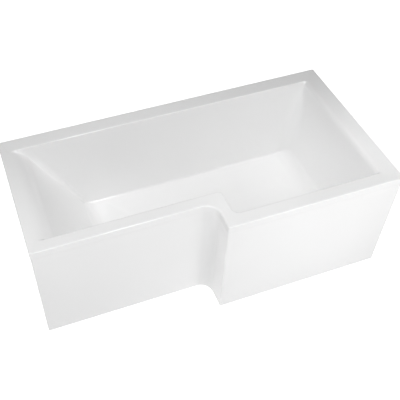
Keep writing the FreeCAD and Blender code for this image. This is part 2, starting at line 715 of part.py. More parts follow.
def legs():
    """Five levelling legs: a threaded rod in a foot, with a lock nut above and below the steel."""
    nuts = []
    socket = "rod_radius + rod_clearance"
    for name, x, y, steel, reach in LEGS:
        top = f"{steel} + {reach}"
        rod = turned(f"leg_rod_{name}_body", [
            ("0", "foot_sole"), ("rod_radius - rod_chamfer", "foot_sole"),
            ("rod_radius", "foot_sole + rod_chamfer"), ("rod_radius", f"{top} - rod_chamfer"),
            ("rod_radius - rod_chamfer", top), ("0", top)])
        node("leg_rod_" + name, place(rod, x, y))
        foot = turned(f"foot_{name}_body", [
            ("0", "0"), ("foot_radius_base", "0"), ("foot_radius_base", "foot_edge"),
            (f"{socket} + foot_socket_wall", "foot_shoulder"),
            (f"{socket} + foot_socket_wall", "foot_height"), (socket, "foot_height"), (socket, "foot_sole"),
            ("0", "foot_sole")])
        node("foot_" + name, place(foot, x, y))
        for level, z in (("upper", steel), ("lower", f"{steel} - cradle_gauge - nut_height")):
            block = hexagon(f"nut_{name}_{level}_block", "nut_across_flats", "nut_height", x, y, z)
            hole = cylinder(f"nut_{name}_{level}_hole", socket, "nut_height", x, y, z)
            nuts.append(cut(f"nut_{name}_{level}", block, hole))
    node("leg_lock_nuts", group("leg_lock_nut_group", nuts))


# Rim battens and wall brackets
def rim_battens():
    """Timber strips under the rim, as deep as the lip, set back to leave room for the panel's tongue."""
    spans = {
        "left": ("x_left + batten_inset", "x_left + batten_inner",
                 "y_narrow + batten_inner", "y_back - batten_inner"),
        "right": ("x_right - batten_inner", "x_right - batten_inset",
                  "y_wide + batten_inner", "y_back - batten_inner"),
        "front_narrow": ("x_left + batten_inset", "x_step + batten_inset",
                         "y_narrow + batten_inset", "y_narrow + batten_inner"),
        "step": ("x_step + batten_inset", "x_step + batten_inner",
                 "y_wide + batten_inner", "y_narrow + batten_inset"),
        "front_wide": ("x_step + batten_inset", "x_right - batten_inset",
                       "y_wide + batten_inset", "y_wide + batten_inner"),
    }
    for name, (x_low, x_high, y_low, y_high) in spans.items():
        strip = box_between(f"rim_batten_{name}_strip", (x_low, y_low, "z_lip"),
                            (x_high, y_high, "z_under_rim"))
        node("rim_batten_" + name, strip)
    strip = box_between("rim_batten_back_strip", ("x_left + batten_inset", "y_back - batten_inner", "z_lip"),
                        ("x_right - batten_inset", "y_back - batten_inset", "z_under_rim"))
    holes = [cylinder(f"batten_pilot_{number}", "screw_radius + screw_clearance", "batten_screw_depth", x, y,
                      "z_lip") for number, (x, y) in enumerate(bracket_screw_places())]
    node("rim_batten_back", cut("rim_batten_back_cut", strip, *holes))


def bracket_places():
    return [f"{sign} bracket_spacing / 2" for sign in ("-", "0 +")]


def bracket_screw_places():
    return [(f"{x} {sign} bracket_screw_spacing / 2", "y_back - (batten_inset + batten_inner) / 2")
            for x in bracket_places() for sign in "-+"]


def wall_brackets():
    """Two steel angles under the back rim, each slotted for a wall screw."""
    along = FreeCAD.Rotation(FreeCAD.Vector(1, 0, 0), -90)
    half_slot = "(bracket_slot_length / 2 - bracket_slot_radius)"
    z_slot = "z_lip - bracket_drop / 2 - bracket_gauge"
    brackets = []
    for number, x in enumerate(bracket_places()):
        body = new_body(f"wall_bracket_{number}_body")
        inner, low, under = "y_back - bracket_gauge", "z_lip - bracket_drop", "z_lip - bracket_gauge"
        section = [("y_back", low), ("y_back", "z_lip"), ("y_back - batten_inner", "z_lip"),
                   ("y_back - batten_inner", under), (inner, under), (inner, low)]
        sketch = outline(body, f"bracket_{number}_section", section, f"{x} - bracket_width / 2", "YZ_Plane")
        pad(body, sketch, "bracket_width")
        screws = bracket_screw_places()[2 * number:2 * number + 2]
        for hole, (x_hole, y_hole) in enumerate(screws):
            bore(body, f"bracket_{number}_hole_{hole}", "screw_radius + screw_clearance", x_hole, y_hole,
                 "z_lip", "bracket_gauge + overrun")
        depth, y_tool = "bracket_gauge + 2 * overrun", "y_back - bracket_gauge - overrun"
        ends = [cylinder(f"slot_{number}_{end}", "bracket_slot_radius", depth, f"{x} {end_sign} {half_slot}",
                         y_tool, z_slot, along)
                for end, end_sign in (("left", "-"), ("right", "+"))]
        middle = box_between(f"slot_{number}_middle",
                             (f"{x} - {half_slot}", y_tool, f"{z_slot} - bracket_slot_radius"),
                             (f"{x} + {half_slot}", "y_back + overrun", f"{z_slot} + bracket_slot_radius"))
        brackets.append(cut(f"wall_bracket_{number}", body, middle, *ends))
    node("wall_brackets", group("wall_bracket_group", brackets))
    screws = [screw(f"bracket_screw_{number}", x, y, "z_lip - bracket_gauge",
                    "bracket_gauge + batten_screw_depth")
              for number, (x, y) in enumerate(bracket_screw_places())]
    node("wall_bracket_screws", group("wall_bracket_screw_group", screws))


# Front panel and what holds it
def front_panel():
    """One L-shaped skin with turned-in ends and foot, joggled at the top into a tongue behind the lip."""
    skin = l_band("panel_skin", "panel_recess", "panel_inner", "0", "z_panel_top")
    shelf = l_band("panel_shelf", "panel_recess", "tongue_inner", "z_panel_top - panel_wall", "panel_wall")
    tongue = l_band("panel_tongue", "tongue_outer", "tongue_inner", "z_panel_top - panel_wall",
                    "panel_wall + panel_gap + panel_tongue_reach", "tongue_outer")
    foot = l_band("panel_foot", "panel_recess", "panel_recess + panel_flange", "0", "panel_wall")
    left = box_between("panel_end_left", ("x_left + panel_recess", "y_narrow + panel_recess", "0"),
                       ("x_left + panel_inner", "y_narrow + panel_recess + panel_flange", "z_panel_top"))
    right = box_between("panel_end_right", ("x_right - panel_inner", "y_wide + panel_recess", "0"),
                        ("x_right - panel_recess", "y_wide + panel_recess + panel_flange", "z_panel_top"))
    node("front_panel", fuse("front_panel_solid", skin, shelf, tongue, foot, left, right))


def clip(name, face, back, plane, start):
    """A clip on a batten's face: a bevelled strip that the panel's tongue slides up behind."""
    body = new_body(name)
    section = [(back, "z_lip"), (f"{face} + clip_lead", "z_lip"), (face, "z_lip + clip_lead"),
               (face, "z_lip + clip_height"), (back, "z_lip + clip_height")]
    pad(body, outline(body, name + "_section", section, start, plane), "clip_length")
    return body


def panel_clips():
    clips = []
    for share in NARROW_CLIP_SHARES:
        x = f"x_left + batten_inset + (bath_length - wide_length) * {share}"
        clips.append(clip(f"clip_{len(clips)}", "y_narrow + tongue_inner", "y_narrow + batten_inset",
                          "YZ_Plane", f"{x} - clip_length / 2"))
    for share in WIDE_CLIP_SHARES:
        x = f"x_step + batten_inset + (wide_length - 2 * batten_inset) * {share}"
        clips.append(clip(f"clip_{len(clips)}", "y_wide + tongue_inner", "y_wide + batten_inset", "YZ_Plane",
                          f"{x} - clip_length / 2"))
    for share in STEP_CLIP_SHARES:
        y = f"y_wide + batten_inner + (step_depth - batten_width) * {share}"
        clips.append(clip(f"clip_{len(clips)}", "x_step + tongue_inner", "x_step + batten_inset", "XZ_Plane",
                          f"-({y} + clip_length / 2)"))
    node("panel_clips", group("panel_clip_group", clips))


def stay_screw(y_front):
    return f"{y_front} - cradle_front_end + stay_lap / 2"


def panel_stays():
    """Bent strips from the front ends of the channels to the back of the panel."""
    stays = []
    screws = []
    for x, y_front, y_face in (("x_cradle_left", "y_leg_narrow", "y_narrow + panel_inner"),
                               ("x_cradle_right", "y_leg_wide", "y_wide + panel_inner")):
        name = "stay_" + x
        body = new_body(name)
        lap, top = f"{y_front} - cradle_front_end + stay_lap", "z_board + stay_height"
        section = [(y_face, "z_board"), (lap, "z_board"), (lap, "z_board + stay_gauge"),
                   (f"{y_face} + stay_gauge", "z_board + stay_gauge"), (f"{y_face} + stay_gauge", top),
                   (y_face, top)]
        sketch = outline(body, name + "_section", section, f"{x} - stay_width / 2", "YZ_Plane")
        pad(body, sketch, "stay_width")
        bore(body, name + "_hole", "screw_radius + screw_clearance", x, stay_screw(y_front),
             "z_board + stay_gauge", "stay_gauge + overrun")
        stays.append(body)
        screws.append(screw(name + "_screw", x, stay_screw(y_front), "z_board + stay_gauge",
                            "stay_screw_depth", down=True))
    node("panel_stays", group("panel_stay_group", stays))
    node("panel_stay_screws", group("panel_stay_screw_group", screws))


# Waste and plug
def waste():
    """Flange with its threaded tail and cross bars, its washers, the overflow body and the nut under it."""
    flange = turned("waste_flange_turned", [
        ("tail_bore", "z_tail_end"), ("tail_radius", "z_tail_end"), ("tail_radius", "z_flange"),
        ("flange_radius", "z_flange"), ("flange_radius", "z_flange_top"),
        ("flange_radius - flange_flat", "z_flange_top"), ("tail_bore", "z_flange_top - flange_dish")])
    place(flange, "x_drain", "y_drain")
    reach, bar = "(tail_bore + tail_wall / 2)", "spider_bar / 2"
    z_low = "z_spider_top - spider_height"
    bars = [box_between("spider_bar_along", (f"x_drain - {reach}", f"y_drain - {bar}", z_low),
                        (f"x_drain + {reach}", f"y_drain + {bar}", "z_spider_top")),
            box_between("spider_bar_across", (f"x_drain - {bar}", f"y_drain - {reach}", z_low),
                        (f"x_drain + {bar}", f"y_drain + {reach}", "z_spider_top"))]
    hub = cylinder("spider_hub", "hub_radius", "spider_height", "x_drain", "y_drain", z_low)
    whole = fuse("waste_flange_whole", flange, hub, *bars)
    span, half = "(tail_radius + overrun)", "tail_window_width / 2"
    low, high = "z_inlet - tail_window_height / 2", "z_inlet + tail_window_height / 2"
    openings = [cylinder("hub_bore", "stud_radius + stud_clearance", "spider_height + 2 * overrun", "x_drain",
                         "y_drain", f"{z_low} - overrun"),
                box_between("window_along", (f"x_drain - {span}", f"y_drain - {half}", low),
                            (f"x_drain + {span}", f"y_drain + {half}", high)),
                box_between("window_across", (f"x_drain - {half}", f"y_drain - {span}", low),
                            (f"x_drain + {half}", f"y_drain + {span}", high))]
    node("waste_flange", cut("waste_flange_cut", whole, *openings))
    tail_room = "tail_radius + banjo_clearance"
    node("waste_upper_seal", washer("waste_upper_seal_ring", "flange_radius", tail_room, "z_seat",
                                    "z_flange"))
    node("waste_lower_seal", washer("waste_lower_seal_ring", "banjo_radius", tail_room, "z_banjo_top",
                                    "z_seat - sheet_wall"))
    nut_low = "z_banjo - back_nut_height"
    block = hexagon("back_nut_block", "back_nut_across_flats", "back_nut_height", "x_drain", "y_drain",
                    nut_low)
    hole = cylinder("back_nut_hole", tail_room, "back_nut_height", "x_drain", "y_drain", nut_low)
    node("waste_back_nut", cut("back_nut", block, hole))
    overflow_banjo(tail_room, low, high)


def washer(name, outer, inner, low, high):
    """A flat ring round the waste's axis."""
    piece = turned(name, [(inner, low), (outer, low), (outer, high), (inner, high)])
    return place(piece, "x_drain", "y_drain")


def overflow_banjo(tail_room, low, high):
    """The overflow body: a ring round the tail with a water way inside and a pipe socket on its front."""
    forwards = FreeCAD.Rotation(FreeCAD.Vector(1, 0, 0), 90)
    reach = "banjo_radius + banjo_inlet_length"
    drum = cylinder("banjo_drum", "banjo_radius", "banjo_height", "x_drain", "y_drain", "z_banjo")
    socket = cylinder("banjo_socket", "socket_radius", reach, "x_drain", "y_drain", "z_inlet", forwards)
    bore_through = cylinder("banjo_bore", tail_room, "banjo_height", "x_drain", "y_drain", "z_banjo")
    chamber = cylinder("banjo_chamber_room", f"{tail_room} + banjo_chamber", f"{high} - ({low})", "x_drain",
                       "y_drain", low)
    way = cylinder("banjo_way", "pipe_radius - pipe_wall", reach, "x_drain", "y_drain", "z_inlet", forwards)
    seat = cylinder("banjo_pipe_seat", "pipe_radius + pipe_clearance", "pipe_insert", "x_drain",
                    "y_banjo_socket + pipe_insert", "z_inlet", forwards)
    whole = fuse("banjo_whole", drum, socket)
    node("overflow_banjo", cut("banjo_cut", whole, bore_through, chamber, way, seat))


def plug():
    """Sprung plug: a guide post screwed into the hub, and the cap with its sleeve and rubber ring."""
    post_top = "z_spider_top + post_height"
    foot = "z_spider_top - spider_height"
    post = turned("plug_cartridge_body", [
        ("0", foot), ("stud_radius", foot), ("stud_radius", "z_spider_top"), ("post_radius", "z_spider_top"),
        ("post_radius", post_top), ("0", post_top)])
    node("plug_cartridge", place(post, "x_drain", "y_drain"))
    sleeve = "post_radius + plug_clearance"
    sleeve_end, top = "z_plug - plug_sleeve_length", "z_plug + plug_thickness"
    cap = turned("plug_cap_body", [
        (sleeve, sleeve_end), (f"{sleeve} + plug_sleeve_wall", sleeve_end),
        (f"{sleeve} + plug_sleeve_wall", "z_plug"), ("plug_radius", "z_plug"), ("plug_radius", top),
        ("0", top), ("0", "z_plug"), (sleeve, "z_plug")])
    round_edges(cap, "plug_edge_radius", lambda edge: math.isclose(edge.BoundBox.ZMin, value(top)))
    node("plug_cap", place(cap, "x_drain", "y_drain"))
    outer = "plug_radius - plug_seal_inset"
    node("plug_seal", washer("plug_seal_ring", outer, f"{outer} - plug_seal_width", "z_flange_top", "z_plug"))


# Overflow
def overflow_turn():
    """Turns the Z axis to stand square on the narrow front wall, pointing into the basin."""
    lean = math.degrees(math.atan2(value("run_narrow"), value("basin_depth")))
    return FreeCAD.Rotation(FreeCAD.Vector(1, 0, 0), lean - 90)


def on_wall(piece):
    """Put a piece on the basin side of the narrow front wall, over the overflow hole."""
    return place(piece, "x_drain", "y_overflow", "z_overflow", overflow_turn())


def overflow():
    """Cover, screw, washer and body of the overflow, and the pipe down to the waste."""
    rim, crown = "cover_radius - cover_bevel", "cover_height - cover_bevel"
    hole = "screw_radius + screw_clearance"
    cover = turned("overflow_faceplate_body", [
        ("cover_radius - cover_wall", "0"), ("cover_radius", "0"), ("cover_radius", crown),
        (rim, "cover_height"), (hole, "cover_height"), (hole, "cover_height - cover_wall"),
        (rim, "cover_height - cover_wall"), ("cover_radius - cover_wall", crown)])
    gap = [("-cover_gap / 2", "cover_radius / 2"), ("cover_gap / 2", "cover_radius / 2"),
           ("cover_gap / 2", "cover_radius + overrun"), ("-cover_gap / 2", "cover_radius + overrun")]
    pocket(cover, outline(cover, "cover_gap_outline", gap), crown, upwards=True)
    node("overflow_faceplate", on_wall(cover))
    tip = "-(elbow_face + elbow_depth - elbow_wall)"
    fixing = turned("overflow_screw_body", [
        ("0", tip), ("screw_radius", tip), ("screw_radius", "cover_height"),
        ("screw_head_radius", "cover_height"), ("screw_head_radius", "cover_height + screw_head_height"),
        ("0", "cover_height + screw_head_height")])
    node("overflow_screw", on_wall(fixing))
    seal = turned("overflow_seal_ring", [
        ("overflow_hole_radius", "-elbow_face"), ("elbow_radius", "-elbow_face"),
        ("elbow_radius", "-wall_across"), ("overflow_hole_radius", "-wall_across")])
    node("overflow_seal", on_wall(seal))
    overflow_elbow(tip, hole)
    overflow_pipe()


def overflow_elbow(tip, hole):
    """A cup behind the wall with a screw boss in its middle and a pipe socket pointing down."""
    base = "-(elbow_face + elbow_depth)"
    cup = on_wall(turned("elbow_cup", [("0", base), ("elbow_radius", base), ("elbow_radius", "-elbow_face"),
                                       ("0", "-elbow_face")]))
    inner = "elbow_radius - elbow_wall"
    hollow = on_wall(turned("elbow_hollow", [
        ("elbow_boss_radius", tip), (inner, tip), (inner, "-elbow_face + overrun"),
        ("elbow_boss_radius", "-elbow_face + overrun")]))
    boss_bore = on_wall(turned("elbow_boss_bore", [("0", tip), (hole, tip), (hole, "-elbow_face + overrun"),
                                                   ("0", "-elbow_face + overrun")]))
    socket = cylinder("elbow_socket", "socket_radius", "z_elbow - z_elbow_socket", "x_drain", "y_pipe",
                      "z_elbow_socket")
    way = cylinder("elbow_way", "pipe_radius - pipe_wall", "z_elbow - z_elbow_socket - elbow_boss_radius",
                   "x_drain", "y_pipe", "z_elbow_socket")
    seat = cylinder("elbow_pipe_seat", "pipe_radius + pipe_clearance", "pipe_insert", "x_drain", "y_pipe",
                    "z_elbow_socket")
    jacket = cut("elbow_jacket", fuse("elbow_whole", cup, socket), hollow)
    node("overflow_elbow", cut("elbow_cut", jacket, boss_bore, way, seat))


def overflow_pipe():
    """The pipe down behind the panel and under the floor, in one bend, with the nut at each end."""
    body = new_body("overflow_pipe_body")
    top, bend_top = "z_elbow_socket + pipe_insert", "z_inlet + pipe_bend"
    spine = new_sketch(body, "pipe_spine", "x_drain", "YZ_Plane")
    y, z, radius = value("y_pipe"), value("z_inlet"), value("pipe_bend")
    centre = FreeCAD.Vector(y + radius, z + radius, 0)
    circle = Part.Circle(centre, FreeCAD.Vector(0, 0, 1), radius)
    pipe_end = "y_banjo_socket + pipe_insert"
    drop = FreeCAD.Vector(y, value(top), 0), FreeCAD.Vector(y, z + radius, 0)
    run = FreeCAD.Vector(y + radius, z, 0), FreeCAD.Vector(value(pipe_end), z, 0)
    spine.addGeometry(Part.LineSegment(*drop))
    spine.addGeometry(Part.ArcOfCircle(circle, math.pi, 1.5 * math.pi))
    spine.addGeometry(Part.LineSegment(*run))
    fix_point(spine, 0, 1, "y_pipe", top)
    fix_point(spine, 0, 2, "y_pipe", bend_top)
    fix_point(spine, 2, 1, "y_pipe + pipe_bend", "z_inlet")
    fix_point(spine, 2, 2, pipe_end, "z_inlet")
    spine.addConstraint(Sketcher.Constraint("Coincident", 0, 2, 1, 1))
    spine.addConstraint(Sketcher.Constraint("Coincident", 1, 2, 2, 1))
    number = spine.addConstraint(Sketcher.Constraint("Radius", 1, radius))
    spine.setExpression(f"Constraints[{number}]", formula("pipe_bend"))
    section = ring(body, "pipe_section", "pipe_radius", "x_drain", "y_pipe", top)
    centre = FreeCAD.Vector(value("x_drain"), y, 0)
    section.addGeometry(Part.Circle(centre, FreeCAD.Vector(0, 0, 1), value("pipe_radius - pipe_wall")))
    fix_point(section, 1, 3, "x_drain", "y_pipe")
    number = section.addConstraint(Sketcher.Constraint("Radius", 1, value("pipe_radius - pipe_wall")))
    section.setExpression(f"Constraints[{number}]", formula("pipe_radius - pipe_wall"))
    sweep = body.newObject("PartDesign::AdditivePipe", "pipe_sweep")
    sweep.Profile = section
    sweep.Spine = (spine, ["Edge1", "Edge2", "Edge3"])
    node("overflow_pipe", body)
    downwards = FreeCAD.Rotation(FreeCAD.Vector(1, 0, 0), 180)
    forwards = FreeCAD.Rotation(FreeCAD.Vector(1, 0, 0), 90)
    upper = place(pipe_nut("pipe_nut_upper"), "x_drain", "y_pipe", "z_elbow_socket + pipe_nut_lap", downwards)
    lower = place(pipe_nut("pipe_nut_lower"), "x_drain", "y_banjo_socket + pipe_nut_lap", "z_inlet", forwards)
    node("overflow_pipe_nuts", group("overflow_pipe_nut_group", [upper, lower]))


def pipe_nut(name):
    """A nut over a socket, whose inner lip closes on the pipe."""
    on_socket, on_pipe = "socket_radius + pipe_clearance", "pipe_radius + pipe_clearance"
    return turned(name, [
        (on_socket, "0"), ("pipe_nut_radius", "0"), ("pipe_nut_radius", "pipe_nut_height"),
        (on_pipe, "pipe_nut_height"), (on_pipe, "pipe_nut_lap"), (on_socket, "pipe_nut_lap")])


def check_pieces():
    """Stop if any feature failed or any piece is empty or broken."""
    for feature in DOC.Objects:
        if "Invalid" in feature.State or "Error" in feature.State:
            raise RuntimeError(f"{feature.Name}: {feature.State}")
    for piece in NODES:
        if piece.Shape.isNull() or not piece.Shape.isValid() or not piece.Shape.Solids:
            raise RuntimeError(piece.Label + " has no sound solid")


def main():
    bath_shell()
    base_board()
    cradles()
    centre_leg_bracket()
    legs()
    rim_battens()
    wall_brackets()
    front_panel()
    panel_clips()
    panel_stays()
    waste()
    plug()
    overflow()
    DOC.recompute()
    check_pieces()
    os.makedirs("parts", exist_ok=True)
    for piece in NODES:
        piece.Shape.exportStep(f"parts/{piece.Label}.step")


main()
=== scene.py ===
import math

import bmesh
import bpy
import numpy as np
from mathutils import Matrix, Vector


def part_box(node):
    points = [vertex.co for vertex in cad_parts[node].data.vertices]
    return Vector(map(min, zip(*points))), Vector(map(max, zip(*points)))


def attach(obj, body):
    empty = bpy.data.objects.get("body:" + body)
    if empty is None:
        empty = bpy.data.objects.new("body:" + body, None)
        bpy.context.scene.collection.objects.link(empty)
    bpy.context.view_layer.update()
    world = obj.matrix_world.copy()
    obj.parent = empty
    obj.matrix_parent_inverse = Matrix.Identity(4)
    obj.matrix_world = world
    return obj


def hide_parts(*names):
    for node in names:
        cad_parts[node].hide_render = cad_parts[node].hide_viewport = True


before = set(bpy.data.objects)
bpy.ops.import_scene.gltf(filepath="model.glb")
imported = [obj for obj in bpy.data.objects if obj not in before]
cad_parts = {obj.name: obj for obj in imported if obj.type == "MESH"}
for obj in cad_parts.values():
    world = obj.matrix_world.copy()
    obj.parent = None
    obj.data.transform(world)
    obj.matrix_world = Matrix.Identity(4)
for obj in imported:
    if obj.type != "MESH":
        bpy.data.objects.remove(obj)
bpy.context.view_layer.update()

bl_info = {
    "name": "L-shaped shower bath",
    "version": (1, 0, 0),
    "blender": (4, 5, 0),
    "location": "3D View > Sidebar > Shower bath",
    "description": "Dresses the shower bath's frame with moulded surfaces, finishes and a studio",
    "category": "Object",
}

MM = 0.001
# Points this near are merged and edges this short are dissolved, in metres. The least size to divide by
DOUBLES, SPECKS, TINY = 1e-6, 1e-7, 1e-12

# Sides of the L in order round it, seen from above. For the corner where each one starts: the way to the
# centre of its arc, where the arc starts and how far it turns
NARROW, STEP, WIDE, RIGHT, BACK, LEFT = range(6)
CORNER_INWARD = np.array([(1, 1), (-1, -1), (1, 1), (-1, 1), (-1, -1), (1, -1)], float)
CORNER_START = np.radians([180, 90, 180, 270, 0, 90])
CORNER_TURN = np.radians([90, -90, 90, 90, 90, 90])

# Shares along a corner's arc and along a side, and each corner's arc on a circle of radius one
ARC_STEPS = 10
SIDE_STEPS = 28
ALONG_ARC = np.linspace(0, 1, ARC_STEPS + 1)
ALONG_SIDE = np.arange(1, SIDE_STEPS + 1)[:, None] / (SIDE_STEPS + 1)
CORNER_ANGLE = CORNER_START[:, None] + CORNER_TURN[:, None] * ALONG_ARC
CORNER_CIRCLE = np.stack([np.cos(CORNER_ANGLE), np.sin(CORNER_ANGLE)], axis=-1)

# Rows of the shell's section, or shares along a part of it, from the lip down to the waste's seat
LIP_ROWS = 3
EDGE_STEPS = 6
RIM_PARTS = (0.01, 0.04, 0.2, 0.4, 0.6, 0.8, 0.96, 0.99)
MOUTH_STEPS = 10
WALL_PARTS = (0.004, 0.015, 0.06, 0.15, 0.3, 0.45, 0.6, 0.75, 0.88, 0.95, 0.985, 0.996)
FOOT_STEPS = 14
FLOOR_STEPS = 6
FALL_STEPS = 60

# Outline of the floor's fall: its room at the right end and its least corner radius. On its front, from the
# step's wall: the end of the inner bend's run, and both ends of the nook's run
FALL_MARGIN = 4 * MM
FALL_CORNER = 15 * MM
BEND_END, NOOK_START, NOOK_END = -20 * MM, 10 * MM, 35 * MM
# Room between the end of the fall and the waste's seat
SEAT_BRIM = 1 * MM

# Front panel: steps on its rounded edges, heights of rows on its face in millimetres, and its least corner
PANEL_EDGE_STEPS = 4
PANEL_ROWS = (40, 280, 520)
PANEL_CORNER = 1 * MM
# How far shelf and foot lap the skin, the foot's room to the ground, the shelf's top below the skin's, and
# the bevel under the tongue
PANEL_LAP, PANEL_GROUND, SHELF_DROP = 2 * MM, 0.2 * MM, 0.4 * MM
BEVEL_UP, BEVEL_IN = 0.2 * MM, 0.5 * MM

# Steps round turned pieces, pieces with cuts in their edge, pipes and rods, on a softened corner with the
# most that it takes of a side, on the pipe's bend and in one turn of a thread. A thread's crest and root are
# shares of its pitch
ROUND_STEPS = 48
CUT_STEPS = 96
PIPE_STEPS = 32
ROD_STEPS = 16
SOFT_STEPS = 3
SOFT_SHARE = 0.45
BEND_STEPS = 16
THREAD_ROWS = 6
CREST, ROOT = 1 / 8, 1 / 4
ALL_ROUND = np.ones(ROUND_STEPS)
FORWARDS = np.array([(1, 0, 0), (0, 0, -1), (0, 1, 0)])
DOWNWARDS = np.array([(1, 0, 0), (0, -1, 0), (0, 0, -1)])

# Sections of turned pieces, radius and height in millimetres
FOOT = ((0, 0), (30, 0), (30, 5), (11.3, 14), (11.3, 26), (6.3, 26), (6.3, 6), (0, 6))
DISH = ((23.4, 155), (36, 155), (36, 158), (26, 158), (20.5, 154))
PLUG = ((0, 160), (7.06, 160), (7.06, 140), (10.06, 140), (10.06, 160), (33, 160), (33, 164.5), (0, 165.5))
POST = ((0, 130), (4, 130), (4, 136), (7, 136), (7, 156), (0, 156))
COVER = ((33, 0), (35, 0), (35, 4.5), (30.5, 9), (2.8, 9), (2.8, 7), (30, 7), (33, 4))
COVER_SCREW = ((0, -48), (2.5, -46), (2.5, 9), (5, 9), (5, 12), (3.2, 12))
PIPE_NUT = ((18.4, 0), (22.5, 0), (22.5, 14), (14.2, 14), (14.2, 10), (18.4, 10))
# How far the corners of these sections are rounded, in millimetres
FOOT_SOFT, DISH_SOFT, PLUG_SOFT, POST_SOFT = 1.6, 0.9, 1.8, 0.6
COVER_SOFT, COVER_SCREW_SOFT, PIPE_NUT_SOFT = 1.2, 1, 1
# Turned rings in millimetres: inner and outer radius, lower and upper height, and rounding
HUB = (4.1, 9, 130, 136, 0.6)
DRUM = (24.2, 34, 89.5, 145.5, 1.5)
SOCKET = (14.2, 18.2, 30, 48, 0.8)
PLUG_RING = (27, 31, 158, 160, 0.7)
SEAT_WASHER = (24.2, 36, 153.5, 155, 0.4)
BODY_WASHER = (24.2, 34, 145.5, 148.5, 0.6)
# Cross bars in the waste, in millimetres: both runs along a bar, and half of its width
BAR_RUNS, BAR_HALF = ((-22, -8), (8, 22)), 1.5
# Lobes of the screw's recess: core and reach in millimetres, and how steeply they rise. Rings down the
# recess: share of the lobes' size, and height in millimetres
LOBE_CORE, LOBE_REACH, LOBE_POWER = 0.9, 2.0, 5
RECESS = ((1.04, 12), (0.8, 10.6), (0, 10.2))

LEGS = ("back_left", "front_left", "back_right", "front_right", "centre")
# Heights above the ground: lock nuts, the waste's thread, socket and nut, and the overflow's cover
NUT_BASE, CENTRE_NUT_BASE = 130 * MM, 77 * MM
TAIL_LOW, TAIL_HIGH = 55 * MM, 84 * MM
SOCKET_HEIGHT, BACK_NUT_BASE = 111.5 * MM, 79.5 * MM
COVER_HEIGHT = 520 * MM
# The rim's fall in the frame, which the overflow is set by
FRAME_RIM_FALL = 2.5 * MM
# The nut under the waste, the chamfer at the foot of its tail, and the overflow pipe's straight ends
BACK_NUT_HEIGHT = 10 * MM
TAIL_CHAMFER = 1.2 * MM
PIPE_LEAD = 1 * MM
# Grooves round a pipe nut, and the cosine below which they are cut
GRIP_GROOVES = 24
GROOVE_EDGE = -0.5
# Six-sided nuts: face's radius as a share of the width, bevel as a share of the height, slope of the cut
NUT_FACE, NUT_BEVEL, NUT_SLOPE = 0.475, 0.08, math.radians(30)

# Least and most roughness of metals, and of moulded finishes with the fineness of their grain
CHROME = (0.03, 0.09)
BRASS = (0.18, 0.3)
WHITE_PLASTIC = (0.3, 0.45, 700.0)
BLACK_PLASTIC = (0.4, 0.55, 900.0)
RUBBER = (0.6, 0.8, 1200.0)

# Half of the studio floor's width in metres, the camera's sensor in millimetres, and how bright the camera
# sees the floor and the room
FLOOR_REACH = 8.0
SENSOR_WIDTH = 36
FLOOR_SEEN = 1.2
ROOM_SEEN = 1.0
WHITE = (1, 1, 1, 1)
# Softboxes: name, place, point that it faces, size in metres, spread in degrees, watts
LIGHTS = (
    ("top", (0.0, 0.1, 3.2), (0.0, 0.1, 0.2), 2.0, 180, 6.6),
    ("top_front", (0.0, -1.3, 3.0), (0.1, 0.0, 0.3), 0.4, 180, 33.5),
    ("top_left", (-0.8, -1.5, 3.0), (0.0, 0.0, 0.3), 0.4, 180, 15.3),
    ("left", (-2.6, -0.2, 1.6), (0.0, 0.0, 0.4), 1.2, 180, 7.4),
    ("left_high", (-2.0, 0.0, 2.8), (0.2, 0.0, 0.3), 1.2, 180, 10.2),
    ("left_low", (-3.0, -0.3, 1.2), (0.3, 0.0, 0.45), 1.0, 180, 1.8),
    ("right_low", (2.8, -0.2, 1.5), (-0.4, 0.0, 0.45), 1.0, 180, 8.9),
    ("right_near", (1.3, -1.2, 1.5), (0.3, -0.2, 0.3), 0.8, 180, 2.25),
    ("backrest", (1.2, -0.2, 2.2), (-0.5, 0.08, 0.35), 0.5, 30, 0.166),
    ("shower_end", (-1.4, 0.1, 1.7), (0.74, -0.15, 0.4), 0.3, 22, 0.117),
    ("wide_panel", (0.9, -2.0, 0.9), (0.45, -0.43, 0.3), 0.8, 60, 1.0),
    ("rim_right", (1.0, -0.7, 1.5), (0.79, -0.1, 0.6), 0.3, 40, 0.11),
    ("rim_left", (-1.0, -0.8, 1.5), (-0.79, -0.05, 0.6), 0.3, 40, 0.06),
    ("floor_back", (0.2, -1.3, 2.2), (0.2, 0.2, 0.16), 0.2, 20, 0.037),
)


# Properties
def amount(name, default, about, **more):
    """A number that a user can change."""
    return bpy.props.FloatProperty(name=name, default=default, description=about, **more)


def amounts(name, default, about, **more):
    """Several numbers that belong together."""
    return bpy.props.FloatVectorProperty(
        name=name, default=default, description=about, size=len(default), **more)


def length(name, millimetres, about):
    """A length, in metres."""
    return amount(name, millimetres * MM, about, unit="LENGTH", precision=4)


def lengths(name, millimetres, about):
    """Several lengths, in metres, such as one for each side or corner of the L."""
    return amounts(name, [size * MM for size in millimetres], about, unit="LENGTH", precision=4)


def colour(name, red, green, blue, about):
    """A colour."""
    return amounts(name, (red, green, blue), about, min=0, max=1, subtype="COLOR")


def group(name, kind):
    """A pointer to one of the groups of properties."""
    return bpy.props.PointerProperty(name=name, description=kind.__doc__.rstrip("."), type=kind)


